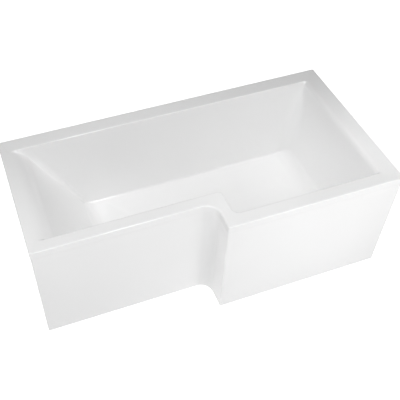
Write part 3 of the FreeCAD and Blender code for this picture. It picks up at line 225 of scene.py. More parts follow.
class ShowerBathShell(bpy.types.PropertyGroup):
    """Sizes of the moulded bath."""
    bath_length: length("Length", 1675, "Outer length of the rim")
    bath_width: length("Width", 850, "Outer width at the shower end")
    step_depth: length("Step", 150, "How far the shower end stands out past the backrest end")
    wide_length: length("Shower end", 860, "Length of the wide shower end")
    rim_height: length("Rim height", 600, "Ground to the rim's outer edge")
    lip_depth: length("Lip", 40, "Height of the downturned lip")
    rim_fall: length("Rim fall", 4, "Fall of the rim towards the basin")
    rim_edge: length("Rim edge", 5, "Rounding of the rim's outer edge")
    wall: length("Sheet", 5, "Thickness of the reinforced acrylic")
    corner_wall: length("Sheet at the rim's edge", 3.9, "Thickness behind the rim's rounded edge")
    rim: lengths("Rim widths", (62, 55, 68, 92, 75, 87), "Width on each side, from the narrow front round")
    run: lengths("Wall leans", (63, 52, 67, 75, 50, 275), "Lean of each wall from mouth to floor")
    mouth: lengths("Mouth roundings", (7, 6, 6, 28, 5, 120), "Rounding from the rim into each wall")
    foot: lengths("Floor roundings", (14, 14, 14, 72, 12, 75), "Rounding from each wall into the floor")
    outer_corner: lengths("Rim corners", (8, 60, 8, 8, 8, 8), "Corner radii of the rim's outline")
    mouth_corner: lengths("Mouth corners", (12, 18, 36, 12, 12, 12), "Corner radii of the basin's mouth")
    wall_corner: lengths("Wall corners", (20, 22, 40, 60, 60, 20), "Corner radii of the walls at the floor")
    wall_bulge: lengths("Wall bulge", (10, 0, 0, 30, 30, 10), "Extra corner radius half way down the walls")
    floor_corner: lengths("Floor corners", (8, 36, 26, 40, 40, 8), "Corner radii of the flat floor")
    floor_height: length("Floor height", 165, "Ground to the floor at its edges")
    tray: lengths("Fall's outline", (-390.5, 666, -135, 285), "Left, right, front and back of the fall")
    tray_depth: length("Fall", 10, "Fall of the floor to its centre line")
    tray_channel: length("Channel", 20, "Width of the level strip on the centre line")
    tray_head: length("Head fall", 150, "Length of the fall at the backrest end")
    tray_foot: length("Foot fall", 100, "Length of the fall at the shower end")
    crease: amount("Crease", 0.02, "Softness of the creases in the fall", min=0, max=1, subtype="FACTOR")
    seat_height: length("Waste seat", 153.5, "Ground to the seat round the waste")
    seat_radius: length("Waste seat radius", 44, "Radius of the seat round the waste")
    hole_radius: length("Waste hole", 26, "Radius of the hole for the waste")


class ShowerBathPanel(bpy.types.PropertyGroup):
    """Sizes of the front panel."""
    recess: length("Recess", 2, "Panel face behind the lip's face")
    thickness: length("Thickness", 4, "Panel thickness")
    top: length("Top", 558, "Ground to the panel's top")
    edge: length("Edge", 1.5, "Rounding of the panel's top and bottom edges")
    end_corner: length("End corners", 8, "Corner radius where the panel turns in at its ends")
    front_corner: length("Front corner", 8, "Corner radius at the outer corner of the L")
    flange: length("Flange", 25, "Panel's turned-in ends and foot")
    tongue: length("Tongue", 6, "Tongue's face behind the lip's face")
    tongue_top: length("Tongue top", 585, "Ground to the tongue's top")


class ShowerBathLegs(bpy.types.PropertyGroup):
    """Sizes of the levelling legs."""
    rod_radius: length("Rod radius", 6, "Outside of the threaded rods")
    rod_chamfer: length("Rod chamfer", 1, "Chamfer at the rods' ends")
    pitch: length("Pitch", 1.75, "Travel for one turn of a rod")
    thread_depth: length("Thread depth", 1.07, "Crest to root of the rods' thread")
    nut_across: length("Nut across flats", 19, "Lock nuts across their flats")
    nut_height: length("Nut height", 10, "Lock nuts")
    nut_hole: length("Nut hole", 6.3, "Radius of the lock nuts' holes")
    nut_gap: length("Nut gap", 12, "Lower nut to upper nut, from base to base")


class ShowerBathFittings(bpy.types.PropertyGroup):
    """Sizes of the waste, plug and overflow."""
    tail_radius: length("Tail radius", 23.9, "Outside of the waste's threaded tail")
    tail_pitch: length("Tail pitch", 2.31, "Pitch of the tail's thread")
    tail_depth: length("Tail thread", 1.2, "Crest to root of the tail's thread")
    back_nut_across: length("Back nut", 62, "Nut under the overflow body, across its flats")
    back_nut_hole: length("Back nut hole", 24.2, "Radius of the nut's hole")
    pipe_radius: length("Pipe radius", 14, "Outside of the overflow pipe")
    pipe_bore: length("Pipe bore", 12, "Inside radius of the overflow pipe")
    pipe_bend: length("Pipe bend", 55, "Bend of the overflow pipe to its centre line")
    pipe_nut_radius: length("Pipe nut", 22.5, "Outside of the nuts at the pipe's ends")
    grip: length("Grip", 0.8, "Depth of the grooves round the pipe nuts")
    cover_gap: length("Water gap", 26, "Width of the gap under the overflow cover")
    cover_crown: length("Water gap height", 4, "Height of the gap under the overflow cover")


class ShowerBathFinish(bpy.types.PropertyGroup):
    """Colours of the finishes."""
    acrylic: colour("Acrylic", 0.90, 0.90, 0.90, "White gloss of the bath and panel")
    fibre: colour("Fibre", 0.62, 0.58, 0.48, "Reinforcement under the acrylic")
    timber: colour("Timber", 0.62, 0.44, 0.25, "Softwood battens")
    board: colour("Board", 0.56, 0.42, 0.26, "Chipboard under the floor")
    zinc: colour("Zinc", 0.62, 0.63, 0.64, "Zinc-plated steel")
    chrome: colour("Chrome", 0.80, 0.81, 0.82, "Polished chrome")
    brass: colour("Brass", 0.72, 0.53, 0.25, "Turned brass")
    white_plastic: colour("White plastic", 0.74, 0.74, 0.72, "Moulded waste fittings")
    black_plastic: colour("Black plastic", 0.03, 0.03, 0.032, "Moulded feet")
    rubber: colour("Rubber", 0.022, 0.022, 0.022, "Seals")


class ShowerBathStage(bpy.types.PropertyGroup):
    """Camera and lights."""
    camera_place: amounts("Camera", (-0.862, -1.939, 2.681), "Where it stands", subtype="TRANSLATION")
    camera_turn: amounts("Camera turn", (math.radians(41.19), 0, math.radians(-20.02)), "Where it looks",
                         subtype="EULER")
    camera_lens: amount("Lens", 58.0, "Focal length", unit="CAMERA")
    camera_shift: amounts("Shift", (0.0895, 0.0208), "Shift of the picture")
    floor_drop: length("Floor's drop", 15.5, "Floor below the feet at rest, as room for their travel")
    floor_glow: amount("Floor's glow", 1.215, "Soft light from the floor")
    floor_gleam: amount("Floor's gleam", 0.73, "Strength of the floor in reflections")
    room_glow: amount("Room's glow", 0.0, "Soft light from the room")
    room_gleam: amount("Room's gleam", 0.15, "Strength of the room in reflections")


class ShowerBathSettings(bpy.types.PropertyGroup):
    """Everything that a user of the bath would change."""
    shell: group("Shell", ShowerBathShell)
    panel: group("Panel", ShowerBathPanel)
    legs: group("Legs", ShowerBathLegs)
    fittings: group("Fittings", ShowerBathFittings)
    finish: group("Finish", ShowerBathFinish)
    stage: group("Stage", ShowerBathStage)


def settings():
    """The bath's properties."""
    return bpy.context.scene.shower_bath


# Meshes from grids of points
class Surface:
    """A grid of points, whether its rows and columns close on themselves, and which finish its faces take."""
    def __init__(self, points, wrap_rows=False, wrap_columns=False, finish=0):
        self.points = np.asarray(points, float)
        self.wraps = wrap_rows, wrap_columns
        rows, columns = self.points.shape[:2]
        self.finish = np.broadcast_to(finish, (rows - (not wrap_rows), columns - (not wrap_columns)))

    def faces(self, start):
        """Four-sided faces between neighbouring points of the grid, which are numbered from start."""
        rows, columns = self.points.shape[:2]
        grid = start + np.arange(rows * columns).reshape(rows, columns)
        if self.wraps[0]:
            grid = np.vstack([grid, grid[:1]])
        if self.wraps[1]:
            grid = np.hstack([grid, grid[:, :1]])
        corners = [grid[:-1, :-1], grid[:-1, 1:], grid[1:, 1:], grid[1:, :-1]]
        return np.stack(corners, axis=-1).reshape(-1, 4)

    def at(self, place, turn=None):
        """The same surface turned about the origin and then moved."""
        points = self.points if turn is None else self.points @ turn.T
        return Surface(points + np.asarray(place), *self.wraps, self.finish)


def joined_mesh(name, surfaces, finishes, sharp):
    """One mesh from several surfaces, with doubles merged and faces turned outwards.

    An edge is sharp where it bends by more than an angle in degrees.
    """
    points, faces, marks = [], [], []
    start = 0
    for surface in surfaces:
        points.append(surface.points.reshape(-1, 3))
        faces.append(surface.faces(start))
        marks.append(np.ravel(surface.finish))
        start += len(points[-1])
    points, faces, marks = np.vstack(points), np.vstack(faces), np.concatenate(marks)
    mesh = bpy.data.meshes.new(name)
    mesh.vertices.add(len(points))
    mesh.vertices.foreach_set("co", points.astype(np.float32).ravel())
    mesh.loops.add(faces.size)
    mesh.loops.foreach_set("vertex_index", faces.astype(np.int32).ravel())
    mesh.polygons.add(len(faces))
    mesh.polygons.foreach_set("loop_start", np.arange(0, faces.size, 4, dtype=np.int32))
    mesh.polygons.foreach_set("material_index", marks.astype(np.int32))
    mesh.update(calc_edges=True)
    for finish in finishes:
        mesh.materials.append(finish)
    solid = bmesh.new()
    solid.from_mesh(mesh)
    bmesh.ops.remove_doubles(solid, verts=solid.verts, dist=DOUBLES)
    bmesh.ops.dissolve_degenerate(solid, edges=solid.edges, dist=SPECKS)
    bmesh.ops.recalc_face_normals(solid, faces=solid.faces)
    solid.to_mesh(mesh)
    solid.free()
    mesh.shade_smooth()
    mesh.set_sharp_from_angle(angle=math.radians(sharp))
    return mesh


def piece(name, surfaces, finishes, body, node, sharp=35):
    """A new piece on its body, with its finish slot and the frame node that it stands for."""
    thing = bpy.data.objects.new(name, joined_mesh(name, surfaces, finishes, sharp))
    bpy.context.scene.collection.objects.link(thing)
    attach(thing, body)
    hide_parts(node)


def refinish(finish, *nodes):
    """Give frame nodes whose shape is right a better finish."""
    for name in nodes:
        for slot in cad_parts[name].material_slots:
            slot.material = finish


def plan_centre(node):
    """Middle of a frame node, seen from above."""
    low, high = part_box(node)
    return np.array([(low.x + high.x) / 2, (low.y + high.y) / 2])


# Outlines of the L
def outline_corners(inset):
    """Corners of the L with each side drawn in by its own inset: rows of six points."""
    shell = settings().shell
    half_length, half_width = shell.bath_length / 2, shell.bath_width / 2
    x_left, x_right = inset[:, LEFT] - half_length, half_length - inset[:, RIGHT]
    x_step = half_length - shell.wide_length + inset[:, STEP]
    y_back, y_wide = half_width - inset[:, BACK], inset[:, WIDE] - half_width
    y_narrow = shell.step_depth - half_width + inset[:, NARROW]
    x = np.stack([x_left, x_step, x_step, x_right, x_right, x_left], axis=1)
    y = np.stack([y_narrow, y_narrow, y_wide, y_wide, y_back, y_back], axis=1)
    return np.stack([x, y], axis=-1)


def outline_rows(inset, height, radius):
    """Rounded L outlines, one for each row of six insets, six heights and six corner radii.

    Each corner is an arc about a centre one radius inside both sides, and each side is a straight run between
    arcs. Along an arc the height goes smoothly from one side's height to the next one's.
    """
    inset, height, radius = np.broadcast_arrays(*(np.atleast_2d(rows) for rows in (inset, height, radius)))
    centre = outline_corners(inset) + radius[..., None] * CORNER_INWARD
    arcs = centre[:, :, None, :] + radius[:, :, None, None] * CORNER_CIRCLE
    before = np.roll(height, 1, axis=1)
    ease = ALONG_ARC ** 2 * (3 - 2 * ALONG_ARC)
    arc_heights = before[..., None] + (height - before)[..., None] * ease
    begin, end = arcs[:, :, -1:, :], np.roll(arcs, -1, axis=1)[:, :, :1, :]
    plan = np.concatenate([arcs, begin + (end - begin) * ALONG_SIDE], axis=2)
    side_heights = np.repeat(height[..., None], SIDE_STEPS, axis=2)
    level = np.concatenate([arc_heights, side_heights], axis=2)
    rows = np.concatenate([plan, level[..., None]], axis=-1)
    return rows.reshape(len(rows), -1, 3)


# Bath shell
def bend(start, heading, turn, radius, steps):
    """Points on an arc that leaves start along heading and turns by an angle, left when positive."""
    angle = heading + turn * np.linspace(0, 1, steps + 1)[:, None]
    side = np.sign(turn)
    centre = start + side * radius * np.stack([-np.sin(heading), np.cos(heading)])
    across = centre[0] + side * radius * np.sin(angle)
    up = centre[1] - side * radius * np.cos(angle)
    return across, up


def shell_profile():
    """Insets, heights and corner radii of the shell's upper face, from the lip's lower edge to the floor.

    On each side the section is the upright lip, a quarter circle, the falling rim, an arc into the leaning
    wall, the wall, and an arc into the floor. Corner radii go evenly from one of these to the next, with a
    parabola added along the wall.
    """
    shell = settings().shell
    rim, run, mouth, foot = map(np.array, (shell.rim, shell.run, shell.mouth, shell.foot))
    outer, at_mouth, at_wall, at_floor = map(
        np.array, (shell.outer_corner, shell.mouth_corner, shell.wall_corner, shell.floor_corner))
    top, edge = shell.rim_height, shell.rim_edge
    z_mouth = top - shell.rim_fall
    depth = z_mouth - shell.floor_height
    sections = []

    def add(inset, height, radius):
        sections.append([np.broadcast_to(rows, (len(inset), 6)) for rows in (inset, height, radius)])

    def between(low, high, parts):
        return low + (high - low) * np.asarray(parts)[:, None]

    # Rows close to the lip's edges hold them sharp
    z_lip, hold = top - shell.lip_depth, 0.5 * MM
    add(np.zeros((LIP_ROWS, 6)), np.array([[z_lip], [z_lip + hold], [top - edge - hold]]), outer)
    angle = np.linspace(0, np.pi / 2, EDGE_STEPS + 1)[:, None]
    add(edge * (1 - np.cos(angle)), top - edge * (1 - np.sin(angle)), outer)
    slope = np.arctan2(-shell.rim_fall, rim - edge)
    lean = np.arctan2(-depth, run)
    mouth_turn = lean - slope
    reach = mouth * np.tan(-mouth_turn / 2)
    begin = np.stack([rim - reach * np.cos(slope), z_mouth - reach * np.sin(slope)])
    add(between(edge, begin[0], RIM_PARTS), between(top, begin[1], RIM_PARTS),
        between(outer, at_mouth, RIM_PARTS))
    inset, height = bend(begin, slope, mouth_turn, mouth, MOUTH_STEPS)
    add(inset, height, at_mouth)
    reach = foot * np.tan(-lean / 2)
    low = np.stack([rim + run - reach * np.cos(lean), shell.floor_height - reach * np.sin(lean)])
    part = np.array(WALL_PARTS)[:, None]
    bulge = 4 * part * (1 - part) * np.array(shell.wall_bulge)
    add(between(inset[-1], low[0], WALL_PARTS), between(height[-1], low[1], WALL_PARTS),
        between(at_mouth, at_wall, WALL_PARTS) + bulge)
    inset, height = bend(low, lean, -lean, foot, FOOT_STEPS)
    add(inset, height, between(at_wall, at_floor, np.linspace(0, 1, FOOT_STEPS + 1)))
    return [np.vstack(rows) for rows in zip(*sections)]


def soft_least(first, second, softness):
    """The lesser of two values, rounded off where they are within softness of each other."""
    overlap = np.maximum(softness - np.abs(first - second), 0)
    return np.minimum(first, second) - overlap ** 2 / (4 * softness)


def floor_fall(x, y):
    """Fall of the floor below its edges: four planes down to a strip on the centre line, softly creased."""
    shell = settings().shell
    left, right, front, back = shell.tray
    crease = shell.crease
    middle, half = (front + back) / 2, shell.tray_channel / 2
    across = soft_least((y - front) / (middle - half - front), (back - y) / (back - middle - half), crease)
    along = soft_least((x - left) / shell.tray_head, (right - x) / shell.tray_foot, crease)
    part = soft_least(soft_least(across, along, crease), 1.0, crease)
    return shell.tray_depth * -soft_least(-part, 0.0, crease)


def fall_outline(edge):
    """Where each point of the floor's outline meets a rectangle with rounded corners inside the fall.

    The return and the nook of the L all land on the rectangle's front side, in order.
    """
    shell = settings().shell
    left, right, front, back = shell.tray
    right = min(right, edge[:, 0].max() - FALL_MARGIN)
    small = np.maximum(FALL_CORNER, np.array(shell.floor_corner) - FALL_MARGIN)
    arc = ARC_STEPS + 1
    target = np.zeros((6, arc + SIDE_STEPS, 2))
    corners = {NARROW: (left, front), RIGHT: (right, front), BACK: (right, back), LEFT: (left, back)}
    for number, corner in corners.items():
        target[number, :arc] = corner + small[number] * (CORNER_INWARD[number] + CORNER_CIRCLE[number])
    step = edge.reshape(*target.shape[:2], 3)[STEP, :, 0]
    turn = step[ARC_STEPS]
    runs = {STEP: (step[0], turn + BEND_END), WIDE: (turn + NOOK_START, turn + NOOK_END)}
    for number, (low, high) in runs.items():
        target[number, :arc, 0] = np.linspace(low, high, arc)
        target[number, :arc, 1] = front
    begin, end = target[:, ARC_STEPS:arc], np.roll(target, -1, axis=0)[:, :1]
    target[:, arc:] = begin + (end - begin) * ALONG_SIDE
    return target.reshape(-1, 2)


def floor_rows(edge):
    """Rows from the floor's outline to the fall's outline, to the waste's seat and over the hole's edge."""
    shell = settings().shell
    fall = fall_outline(edge)
    centre = plan_centre("waste_flange")
    away = fall - centre
    ray = away / np.linalg.norm(away, axis=1)[:, None]
    seat, hole, level = shell.seat_radius, shell.hole_radius, shell.seat_height
    rim = centre + ray * (seat + SEAT_BRIM)
    runs = ((edge[:, :2], fall, FLOOR_STEPS), (fall, rim, FALL_STEPS))
    plan = np.concatenate([begin + (end - begin) * np.linspace(0, 1, steps + 1)[1:, None, None]
                           for begin, end, steps in runs])
    height = shell.floor_height - floor_fall(plan[..., 0], plan[..., 1])
    rows = [np.concatenate([plan, height[..., None]], axis=-1)]
    brim = shell.floor_height - floor_fall(rim[:, 0], rim[:, 1])
    # Radius and height of rings over the seat's brim and the hole's edge, which are rounded off
    steps = ((seat + 0.3 * MM, brim - 0.2 * MM), (seat - 0.4 * MM, level + 0.2 * MM),
             (seat - 1.2 * MM, level), (hole + 1.5 * MM, level),
             (hole + 0.4 * MM, level - 0.3 * MM), (hole, level - 1.2 * MM))
    for radius, height in steps:
        ring = centre + ray * radius
        rows.append(np.concatenate([ring, np.broadcast_to(height, len(ring))[:, None]], axis=-1)[None])
    return np.concatenate(rows)


def grid_normals(points):
    """Unit normals of a grid whose columns close on themselves: across the columns times down the rows."""
    down = np.gradient(points, axis=0)
    across = np.roll(points, -1, axis=1) - np.roll(points, 1, axis=1)
    normal = np.cross(across, down)
    return normal / np.maximum(np.linalg.norm(normal, axis=-1), TINY)[..., None]


def shell_surface():
    """The upper face, and the lower face a sheet below it along the normals, joined at lip and waste hole."""
    shell = settings().shell
    upper = outline_rows(*shell_profile())
    rise = upper[..., 2] - shell.floor_height
    fade = np.clip(1 - rise / shell.foot[RIGHT], 0, 1)
    upper[..., 2] -= fade * floor_fall(upper[..., 0], upper[..., 1])
    upper = np.concatenate([upper, floor_rows(upper[-1])])
    normal = grid_normals(upper)
    normal[0] = normal[1]
    normal[0, :, 2] = 0
    depth = np.full(len(upper), shell.wall)
    depth[LIP_ROWS - 1:LIP_ROWS + EDGE_STEPS + 2] = shell.corner_wall
    lower = upper - normal * depth[:, None, None]
    lower[0, :, 2] = upper[0, :, 2]
    points = np.concatenate([upper, lower[::-1]])
    finish = np.zeros(points.shape[:2], int)
    finish[len(upper):-1] = 1
    return Surface(points, wrap_rows=True, wrap_columns=True, finish=finish)


# Front panel
def front_path(offset, radius, reach):
    """A path round the front of the L at one offset behind the lip's face, its ends turned in by reach."""
    full = outline_rows(np.full(6, offset), 0.0, radius)[0].reshape(6, -1, 3)
    arc = ARC_STEPS + 1
    front = np.concatenate([full[number] for number in (NARROW, STEP, WIDE)] + [full[RIGHT, :arc]])
    if reach <= 0:
        return front[arc - 1:-arc + 1]
    tail, head = (front[[end]] + (0, reach, 0) for end in (0, -1))
    return np.concatenate([tail, front, head])


def strip(profile, radius_of, reach):
    """A closed profile of offsets and heights carried round the front of the L, with closed ends."""
    rows = []
    for offset, height in profile:
        path = front_path(offset, radius_of(offset), reach)
        path[:, 2] = height
        rows.append(path)
    rows = np.array(rows)
    half = len(profile) // 2
    ends = [Surface(np.stack([rows[:half, column], rows[half:, column][::-1]])) for column in (0, -1)]
    return [Surface(rows, wrap_rows=True)] + ends


def panel_surfaces():
    """Skin with turned-in ends, shelf and tongue behind the lip, and the foot's flange."""
    panel, shell = settings().panel, settings().shell
    face, back, edge = panel.recess, panel.recess + panel.thickness, panel.edge

    def radius_of(offset):
        end = max(panel.end_corner - (offset - face), PANEL_CORNER)
        corner = max(panel.front_corner - (offset - face), PANEL_CORNER)
        elbow = shell.outer_corner[STEP] + offset
        return np.array([end, elbow, corner, end, end, end])

    angle = np.linspace(0, np.pi / 2, PANEL_EDGE_STEPS + 1)
    top = [(face + edge * (1 - math.cos(a)), panel.top - edge * (1 - math.sin(a))) for a in angle]
    bottom = [(face + edge * (1 - math.sin(a)), edge * (1 - math.cos(a))) for a in angle]
    outer = bottom + [(face, height * MM) for height in PANEL_ROWS] + top
    skin = outer + [(back, height) for _, height in outer[::-1]]
    lap, toe, ground = face + PANEL_LAP, face + panel.flange, PANEL_GROUND
    tongue_back = panel.tongue + panel.thickness
    shelf, shelf_top = panel.top - panel.thickness, panel.top - SHELF_DROP
    tongue = [(lap, shelf), (lap, shelf_top), (panel.tongue, shelf_top), (panel.tongue, panel.tongue_top),
              (tongue_back, panel.tongue_top), (tongue_back, panel.top), (tongue_back, shelf + BEVEL_UP),
              (tongue_back - BEVEL_IN, shelf)]
    foot = [(lap, ground), (lap, panel.thickness), (toe, panel.thickness), (toe, ground)]
    reach = panel.flange - panel.end_corner
    return strip(skin, radius_of, reach) + strip(tongue, radius_of, 0) + strip(foot, radius_of, 0)


# Turned, threaded and swept pieces
def turns(columns):
    """Angles of equal steps round an axis."""
    return np.arange(columns) * (2 * np.pi / columns)


def softened(profile, radius, open_ends=False):
    """A profile in millimetres, with a parabola at each corner, from one radius before it to one after.

    The radius is held to less than half of the shorter side next to the corner.
    """
    corner = np.array(profile) * MM
    sides = [np.roll(corner, shift, axis=0) - corner for shift in (1, -1)]
    spans = [np.linalg.norm(side, axis=1)[:, None] for side in sides]
    reach = np.minimum(radius * MM, SOFT_SHARE * np.minimum(*spans))
    if open_ends:
        reach[[0, -1]] = 0
    begin, end = (corner + side / span * reach for side, span in zip(sides, spans))
    part = np.linspace(0, 1, SOFT_STEPS + 1)[:, None, None]
    curve = (1 - part) ** 2 * begin + 2 * part * (1 - part) * corner + part ** 2 * end
    return curve.transpose(1, 0, 2).reshape(-1, 2)


def lathe(radius, height, open_ends=False):
    """A surface round the upright axis, from a radius and a height at each step along and each step round."""
    radius, height = np.broadcast_arrays(radius, height)
    angle = turns(radius.shape[1])
    points = np.stack([radius * np.cos(angle), radius * np.sin(angle), height], axis=-1)
    return Surface(points, wrap_rows=not open_ends, wrap_columns=True)


def turned(profile, radius, open_ends=False):
    """A profile of radii and heights, with softened corners, turned about the upright axis."""
    soft = softened(profile, radius, open_ends)
    return lathe(soft[:, :1] * ALL_ROUND, soft[:, 1:], open_ends)


def turned_ring(inner, outer, low, high, radius):
    """A ring between two radii and two heights in millimetres, with softened edges."""
    return turned(((inner, low), (outer, low), (outer, high), (inner, high)), radius)


def thread(low, high, outside, pitch, depth, columns):
    """Radii and heights of a thread, which is cut from crest down flank to root along a helix."""
    height = np.linspace(low, high, int((high - low) / pitch * THREAD_ROWS))[:, None]
    phase = (height / pitch - np.arange(columns) / columns) % 1
    cut = np.clip((1 - CREST - np.abs(2 * phase - 1)) / (1 - CREST - ROOT), 0, 1)
    return outside - depth * cut, height


def threaded_rod(low, high):
    """A rod with a helical thread and chamfered ends, closed at the axis."""
    legs = settings().legs
    radius, height = thread(low, high, legs.rod_radius, legs.pitch, legs.thread_depth, ROD_STEPS)
    end = np.minimum(height - low, high - height)
    radius = np.minimum(radius, legs.rod_radius - legs.rod_chamfer + end)
    ends = ((1, 1), (0, 0))
    return lathe(np.pad(radius, ends), np.pad(height, ends, mode="edge"), open_ends=True)


def hexagon_nut(across, height, hole):
    """A six-sided nut: circles at the hole and faces, hexagons between them, with corners cut by a cone."""
    reach = across / 2 / np.cos((turns(ROUND_STEPS) + np.pi / 6) % (np.pi / 3) - np.pi / 6)
    face = NUT_FACE * across
    drop = (reach - face) * math.tan(NUT_SLOPE)
    bevel = NUT_BEVEL * height
    radius = [hole, hole + bevel, face, reach, reach, face, hole + bevel, hole]
    level = [bevel, 0, 0, drop, height - drop, height, height, height - bevel]
    return lathe(*(np.array([row * ALL_ROUND for row in rows]) for rows in (radius, level)))


def block(low, high):
    """A box between two corners, in millimetres, as rings of four points that close at both ends."""
    low, high = np.array(low) * MM, np.array(high) * MM
    ring = np.array([(low[0], low[1]), (high[0], low[1]), (high[0], high[1]), (low[0], high[1])])
    middle = np.broadcast_to(ring.mean(axis=0), ring.shape)
    rows = [(middle, low[2]), (ring, low[2]), (ring, high[2]), (middle, high[2])]
    points = [np.column_stack([plan, np.full(4, level)]) for plan, level in rows]
    return Surface(points, wrap_columns=True)


def tube(path, outer, inner):
    """A round pipe along a path in a plane square to X: each ring stands square on the path."""
    along = np.gradient(path, axis=0)
    along /= np.linalg.norm(along, axis=1)[:, None]
    side = np.array([1.0, 0, 0])
    up = np.cross(along, side)
    angle = turns(PIPE_STEPS)[:, None]
    circle = np.cos(angle) * side + np.sin(angle) * up[:, None]
    rings = [path[:, None] + radius * circle for radius in (outer, inner)]
    return Surface(np.concatenate([rings[0], rings[1][::-1]]), wrap_rows=True, wrap_columns=True)


def waste_flange():
    """The dished flange, its threaded tail, and the cross bars with their hub."""
    fittings = settings().fittings
    outside = fittings.tail_radius
    dish = softened(DISH, DISH_SOFT, open_ends=True)
    neck, bore = (np.full((1, ROUND_STEPS), DISH[end][0] * MM) for end in (0, -1))
    radius, height = thread(TAIL_LOW, TAIL_HIGH, outside, fittings.tail_pitch, fittings.tail_depth,
                            ROUND_STEPS)
    radius = np.minimum(radius, outside - TAIL_CHAMFER + height - TAIL_LOW)
    radius = np.concatenate([bore, radius, neck, dish[:, :1] * ALL_ROUND])
    height = np.concatenate([[[TAIL_LOW]], height, [[TAIL_HIGH + 1 * MM]], dish[:, 1:]])
    low, high = HUB[2:4]
    bars = [block((near, -BAR_HALF, low), (far, BAR_HALF, high)) for near, far in BAR_RUNS]
    bars += [block((-BAR_HALF, near, low), (BAR_HALF, far, high)) for near, far in BAR_RUNS]
    return [lathe(radius, height), turned_ring(*HUB)] + bars


def overflow_cover():
    """The cover: a shallow dish with a bevelled edge, whose side is cut away over the water gap."""
    fittings = settings().fittings
    soft = softened(COVER, COVER_SOFT)
    angle = turns(CUT_STEPS)
    gap = (np.abs(np.cos(angle)) * soft[:, 0].max() < fittings.cover_gap / 2) & (np.sin(angle) > 0)
    return lathe(soft[:, :1], np.maximum(soft[:, 1:], gap * fittings.cover_crown))


def cross_screw():
    """A screw with a rounded head and a cross-shaped recess: the recess has four lobes round the axis."""
    lobe = (LOBE_CORE + LOBE_REACH * np.abs(np.cos(2 * turns(ROUND_STEPS))) ** LOBE_POWER) * MM
    soft = softened(COVER_SCREW, COVER_SCREW_SOFT, open_ends=True)
    radius = np.concatenate([soft[:, :1] * ALL_ROUND, [lobe * size for size, _ in RECESS]])
    height = np.concatenate([soft[:, 1], [level * MM for _, level in RECESS]])[:, None]
    return lathe(radius, height, open_ends=True)


def pipe_nut():
    """A nut over a pipe socket, with grooves round it for the fingers."""
    fittings = settings().fittings
    soft = softened(PIPE_NUT, PIPE_NUT_SOFT)
    groove = fittings.grip * (np.cos(GRIP_GROOVES * turns(CUT_STEPS)) < GROOVE_EDGE)
    outside = soft[:, :1] > fittings.pipe_nut_radius - 0.2 * MM
    return lathe(soft[:, :1] - outside * groove, soft[:, 1:])


def overflow_path():
    """Centre line of the overflow pipe: straight down, a quarter bend, and level to the waste."""
    fittings = settings().fittings
    low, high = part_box("overflow_pipe")
    x, y, z = (low.x + high.x) / 2, low.y + fittings.pipe_radius, low.z + fittings.pipe_radius
    radius = fittings.pipe_bend
    angle = np.linspace(0, np.pi / 2, BEND_STEPS + 1)
    curve = np.stack([y + radius * (1 - np.cos(angle)), z + radius * (1 - np.sin(angle))], axis=1)
    upper, lower = [(y, high.z), (y, high.z - PIPE_LEAD)], [(high.y - PIPE_LEAD, z), (high.y, z)]
    plan = np.vstack([upper, curve, lower])
    return np.column_stack([np.full(len(plan), x), plan])


def cover_place():
    """Middle of the overflow cover on the leaning narrow wall, and the turn that faces it into the basin."""
    shell = settings().shell
    z_mouth = shell.rim_height - FRAME_RIM_FALL
    lean = shell.run[NARROW] / (z_mouth - shell.floor_height)
    y_mouth = shell.step_depth - shell.bath_width / 2 + shell.rim[NARROW]
    y_cover = y_mouth + lean * (z_mouth - COVER_HEIGHT)
    tilt = math.atan(lean) - math.pi / 2
    cos, sin = math.cos(tilt), math.sin(tilt)
    inwards = np.array([(1, 0, 0), (0, cos, -sin), (0, sin, cos)])
    return np.array([plan_centre("waste_flange")[0], y_cover, COVER_HEIGHT]), inwards


# Finishes
def add_node(tree, kind, inputs, **properties):
    """A node whose inputs are linked to sockets or set to values."""
    made = tree.nodes.new(kind)
    for key, value in properties.items():
        setattr(made, key, value)
    for key, value in inputs.items():
        if isinstance(value, bpy.types.NodeSocket):
            tree.links.new(value, made.inputs[key])
        else:
            made.inputs[key].default_value = value
    return made


